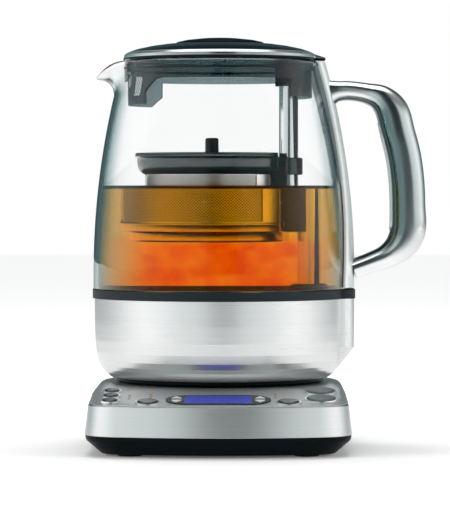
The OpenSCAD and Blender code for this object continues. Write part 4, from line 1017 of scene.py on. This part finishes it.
def makeSpine():
    heights = spread(handle["spineBottom"], handle["spineTop"], handle["spineRows"])
    spine = ringShell("spineBody", [spineRing(z) for z in heights], materials["satinSteel"], sharp=40)
    spine.data.materials.append(materials["ribLiner"])
    for polygon in spine.data.polygons:
        if polygon.normal.x < handle["inwardX"] and abs(polygon.normal.z) < handle["inwardZ"]:
            polygon.material_index = 1
    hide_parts("handle_spine")
    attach(spine, "jug")


def makeLinerAndReflection():
    # wider than the spine, which covers its middle; the dark sides that show beside the spine paint the
    # spine's reflection in the glass
    heights = spread(handle["linerHalf"][0][0], handle["linerHalf"][-1][0], handle["linerRows"])
    liner = ringShell("spineLinerReflection", [linerRing(z) for z in heights], materials["ribLiner"], sharp=40)
    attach(liner, "jug")


makeGrip()
makeSpine()
makeLinerAndReflection()
print("handle made")

# tea basket: perforated wall, plain bands, a dark fill painted as shade inside it, collar and slider
basket = {
    "middleX": -5, "postX": 42.5, "radius": 41.5, "flatX": 31, "skin": 0.02, "ringSteps": 144,
    "pitch": 1.74, "hole": 0.56, "holesFrom": 47, "holesOverlap": 1.2, "holeRows": 34, "holesBottom": 136.4,
    "wallTop": 168.5, "rimBottom": 165.6, "stripSteps": 40,
    # the bead under the holes, as distances out from the wall and up from the lowest holes' edge
    "bead": [(0.02, 0.6), (0.02, -0.3), (0.45, -0.6), (0.45, -1.2), (0, -1.5)],
    # the step in, as distances out from the wall and heights, then the foot, out from its own radius
    "step": [(0, 131), (-0.4, 130.3), (-3.2, 130.1), (-3.4, 129.7)],
    "footRadius": 37.5, "foot": [(0, 129.3), (0, 125.6), (-0.4, 124.8), (-1.2, 124.4)],
    # heights and insets of the dark fill that paints the shade inside the basket, which stays this gap inside
    # the wall
    "shadeFillGap": 1.3, "leaves": [(131.4, 2.2), (132.6, 0.4), (134, 0), (164.6, 0), (165.6, 1.2)],
    # the collar's radii, with heights from its bottom, then from its top
    "collarBottom": 166, "collarTop": 178, "collarFlat": 35.8,
    "collarFoot": [(44.6, 5), (43, 3.4), (40.2, 3), (40.2, 0), (41.6, 0), (42.8, 0.5), (44.4, 1.8),
                   (45.4, 3.2), (45.9, 5)],
    "collarLip": [(46.2, -3.4), (46.4, -2.2), (46.9, -1.3), (47.7, -0.9), (47.8, -0.4), (47.5, 0),
                  (46.4, 0), (45.6, -1)],
    "sliderRadius": 8.7, "bore": 6.6, "sliderHeight": 10.6, "sliderChamfers": (0.6, 0.8),
    "sliderSegments": 64,
    "housingX": (31.2, 41.4), "housingHalf": 8, "housingBottom": 130, "housingDrop": 1,
    "webThick": 1.6, "sideThick": 1.3,
}


def makeLatticeTree():
    # copies one cell over a leaning staggered lattice and rolls the sheet round an upright axis
    tree, ins, outs = newTree("rolledLattice", [
        ("Columns", "Int", 100), ("Rows", "Int", 30), ("Pitch", "Float", 0.0015), ("Lean", "Float", 0.0),
        ("Radius", "Float", 0.04), ("First Angle", "Float", 0.8), ("Bottom", "Float", 0.13),
        ("Axis X", "Float", 0.0), ("Material", "Material", None)])
    grid = meshGrid(tree, ins["Columns"], ins["Rows"])
    column, row = gridPlace(tree, ins["Rows"])
    stagger = calc(tree, "MULTIPLY", calc(tree, "MODULO", row, 2.0), 0.5)
    up = calc(tree, "MULTIPLY", calc(tree, "MULTIPLY", row, 0.5), ins["Pitch"])
    along = calc(tree, "MULTIPLY", calc(tree, "ADD", column, stagger), ins["Pitch"])
    along = calc(tree, "MULTIPLY_ADD", up, ins["Lean"], along)
    lattice = setPosition(tree, grid, Position=combine(tree, x=along, z=up))
    cells = {"Points": lattice, "Instance": ins["Geometry"]}
    copies = addNode(tree, "GeometryNodeInstanceOnPoints", cells)
    sheet = addNode(tree, "GeometryNodeRealizeInstances", {"Geometry": copies.outputs[0]}).outputs[0]
    x, y, z = split(tree, addNode(tree, "GeometryNodeInputPosition").outputs[0])
    angle = calc(tree, "ADD", calc(tree, "DIVIDE", x, ins["Radius"]), ins["First Angle"])
    across = calc(tree, "MULTIPLY", calc(tree, "COSINE", angle), ins["Radius"])
    across = calc(tree, "ADD", across, ins["Axis X"])
    deep = calc(tree, "MULTIPLY", calc(tree, "SINE", angle), ins["Radius"])
    rolled = combine(tree, across, deep, calc(tree, "ADD", z, ins["Bottom"]))
    body = mergePoints(tree, setPosition(tree, sheet, Position=rolled), weld["lattice"]*mm)
    return finishTree(tree, body, ins["Material"], outs)


latticeTree = makeLatticeTree()


def corners(radius, count):
    # a regular outline, flat in XZ
    angles = [2*math.pi*k/count for k in range(count)]
    return [(radius*math.cos(angle), 0, radius*math.sin(angle)) for angle in angles]


def piercedCell():
    # a diamond, with points at its sides' middles, round an eight-sided hole
    half = basket["pitch"]/2
    wide = corners(half, 8)
    narrow = corners(half/math.sqrt(2), 8)
    diamond = [narrow[k] if k % 2 else wide[k] for k in range(8)]
    faces = [(k, (k + 1) % 8, 8 + (k + 1) % 8, 8 + k) for k in range(8)]
    return meshPiece("perforatedWall", diamond + corners(basket["hole"], 8), faces)


def flattened(radius, z, flat):
    # a circle round the basket's axis with a flat toward the lift post
    ring = []
    for k in range(basket["ringSteps"]):
        angle = 2*math.pi*(k + 0.5)/basket["ringSteps"]
        ring.append((min(basket["middleX"] + radius*math.cos(angle), flat), radius*math.sin(angle), z))
    return ring


def boxPiece(name, low, high):
    (x0, y0, z0), (x1, y1, z1) = low, high
    points = [(x, y, z) for z in (z0, z1) for x, y in ((x0, y0), (x1, y0), (x1, y1), (x0, y1))]
    faces = [(3, 2, 1, 0), (4, 5, 6, 7), (0, 1, 5, 4), (1, 2, 6, 5), (2, 3, 7, 6), (3, 0, 4, 7)]
    return meshPiece(name, points, faces, smooth=False)


def makeHoledWall():
    sweep = math.radians(360 - 2*basket["holesFrom"])
    wall = piercedCell()
    runTree(wall, latticeTree, {
        "Columns": int(sweep*basket["radius"]/basket["pitch"]), "Rows": basket["holeRows"],
        "Pitch": basket["pitch"]*mm, "Lean": 0.0, "Radius": basket["radius"]*mm,
        "First Angle": math.radians(basket["holesFrom"]), "Bottom": basket["holesBottom"]*mm,
        "Axis X": basket["middleX"]*mm, "Material": materials["meshSteel"]})
    return applyModifiers(wall)


def makePlainStrip(bottom):
    # the flat side toward the post has no holes
    count = basket["stripSteps"]
    first = math.radians(basket["holesFrom"] + basket["holesOverlap"])
    points = []
    for z in (bottom, basket["wallTop"]):
        for angle in spread(-first, first, count):
            x = basket["middleX"] + basket["radius"]*math.cos(angle)
            points.append((min(x, basket["flatX"]), basket["radius"]*math.sin(angle), z))
    return meshPiece("plainStrip", points, [(k, k + 1, count + 2 + k, count + 1 + k) for k in range(count)])


def makeBasketWall():
    radius = basket["radius"]
    flat = basket["flatX"]
    bottom = basket["holesBottom"] - basket["pitch"]/4
    profile = [(radius + out, bottom + up) for out, up in basket["bead"]]
    profile += [(radius + out, z) for out, z in basket["step"]]
    profile += [(basket["footRadius"] + out, z) for out, z in basket["foot"]]
    profile += [(1, basket["foot"][-1][1])]
    band = ringShell("plainBand", [flattened(r, z, flat) for r, z in profile], caps=False, sharp=60)
    edges = [flattened(radius + basket["skin"], z, flat) for z in (basket["rimBottom"], basket["wallTop"])]
    rim = ringShell("wallTop", edges, caps=False)
    parts = [makeHoledWall(), band, rim, makePlainStrip(bottom)]
    piece = joinPieces("basketWall", parts, materials["meshSteel"])
    smoothen(piece.data)
    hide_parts("basket_mesh")
    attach(piece, "basket")


def makeShadeFill():
    # painted shade: a dark core fills the basket, so its holes read dark
    radius = basket["radius"] - basket["shadeFillGap"]
    flat = basket["flatX"] - basket["shadeFillGap"]
    outlines = [flattened(radius - inset, z, flat) for z, inset in basket["leaves"]]
    core = ringShell("basketShadeFill", outlines, materials["wetLeaves"], sharp=60)
    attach(core, "basket")


def makeSleeve(low):
    slider = basket["sliderRadius"]
    bore = basket["bore"]
    high = low + basket["sliderHeight"]
    under, over = basket["sliderChamfers"]
    profile = [(bore, low), (slider - under, low), (slider, low + under), (slider, high - over),
               (slider - over, high), (bore, high)]
    material = materials["greyPlastic"]
    sleeve = turned("sliderSleeve", profile, material, basket["sliderSegments"], closed=True)
    for vertex in sleeve.data.vertices:
        vertex.co.x += basket["postX"]*mm
    return sleeve


def makeHousing(top):
    x0, x1 = basket["housingX"]
    half = basket["housingHalf"]
    low = basket["housingBottom"]
    inner = x0 + basket["webThick"]
    walls = [boxPiece("housingWeb", (x0, -half, low), (inner, half, top))]
    for side in (-1, 1):
        near, far = sorted((side*(half - basket["sideThick"]), side*half))
        walls.append(boxPiece("housingSide", (inner, near, low), (x1, far, top)))
    return walls


def makeCollar():
    top = basket["collarTop"]
    low = basket["collarBottom"]
    profile = [(r, low + up) for r, up in basket["collarFoot"]]
    profile += [(r, top + up) for r, up in basket["collarLip"]]
    rings = [flattened(r, z, basket["collarFlat"]) for r, z in profile]
    ring = ringShell("collarRing", rings, closed=True, sharp=40)
    parts = [ring, makeSleeve(low)] + makeHousing(top - basket["housingDrop"])
    piece = joinPieces("basketCollar", parts, materials["greyPlastic"])
    piece.data.set_sharp_from_angle(angle=math.radians(40))
    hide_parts("basket_collar")
    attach(piece, "basket")


makeBasketWall()
makeShadeFill()
makeCollar()
print("basket made")

# lid: domed cover with a hinge tab toward the handle, and a flat lens for a knob
lid = {
    "dome": [(0, 246.8), (28.2, 246.9), (34.5, 246.6), (43, 245.4), (50.9, 243.7), (55.2, 242.3),
             (57.9, 241.1), (59.2, 239.9), (59.75, 238.0), (59.8, 237.2), (59.5, 236.5), (58.2, 236.4),
             (58.2, 237.9), (50, 237.9), (50, 239.8), (30, 244.4), (0, 244.4)],
    "lens": [(0, 250.7), (11.4, 250.4), (21.3, 249.3), (26.2, 248.2), (27.5, 247.5), (27.6, 246.9),
             (0, 246.9)],
    "tab": [(46, 237.9), (46, 243.8), (56.5, 241.0), (65.1, 238.3), (65.2, 237.0), (64.4, 236.6),
            (58.6, 236.6)],
    "tabHalf": 7.5, "domeRound": 1.2, "lensRound": 0.6,
}


def makeLid():
    cover = turned("lidShell", rounded(lid["dome"], lid["domeRound"]), materials["lidGloss"])
    half = lid["tabHalf"]
    rings = [[(x, y, z) for x, z in lid["tab"]] for y in (-half, half)]
    tab = ringShell("lidTab", rings, materials["lidGloss"])
    shell = joinPieces("lidCover", [cover, tab], materials["lidGloss"])
    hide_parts("lid_cover")
    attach(shell, "lid")
    lens = turned("lidLens", rounded(lid["lens"], lid["lensRound"]), materials["lensBlack"])
    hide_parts("lid_knob")
    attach(lens, "lid")
    print("lid made")


makeLid()

# small holes in the lid's spout flap, shown as pale inlays: painted light for the brightness seen through
# them
flap = {"radius": 57.12, "firstAngle": 206.5, "bottom": 214.6, "rows": 9, "columns": 3, "pitch": 2.5,
        "hole": 0.7, "lean": 0.32}


def makeFlapHoles():
    dots = meshPiece("flapHoles", corners(flap["hole"], 6), [(0, 1, 2, 3, 4, 5)])
    runTree(dots, latticeTree, {
        "Columns": flap["columns"], "Rows": flap["rows"], "Pitch": flap["pitch"]*mm, "Lean": flap["lean"],
        "Radius": flap["radius"]*mm, "First Angle": math.radians(flap["firstAngle"]),
        "Bottom": flap["bottom"]*mm, "Axis X": 0.0, "Material": materials["paleInlay"]})
    applyModifiers(dots)
    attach(dots, "lid")


makeFlapHoles()
print("flap holes made")
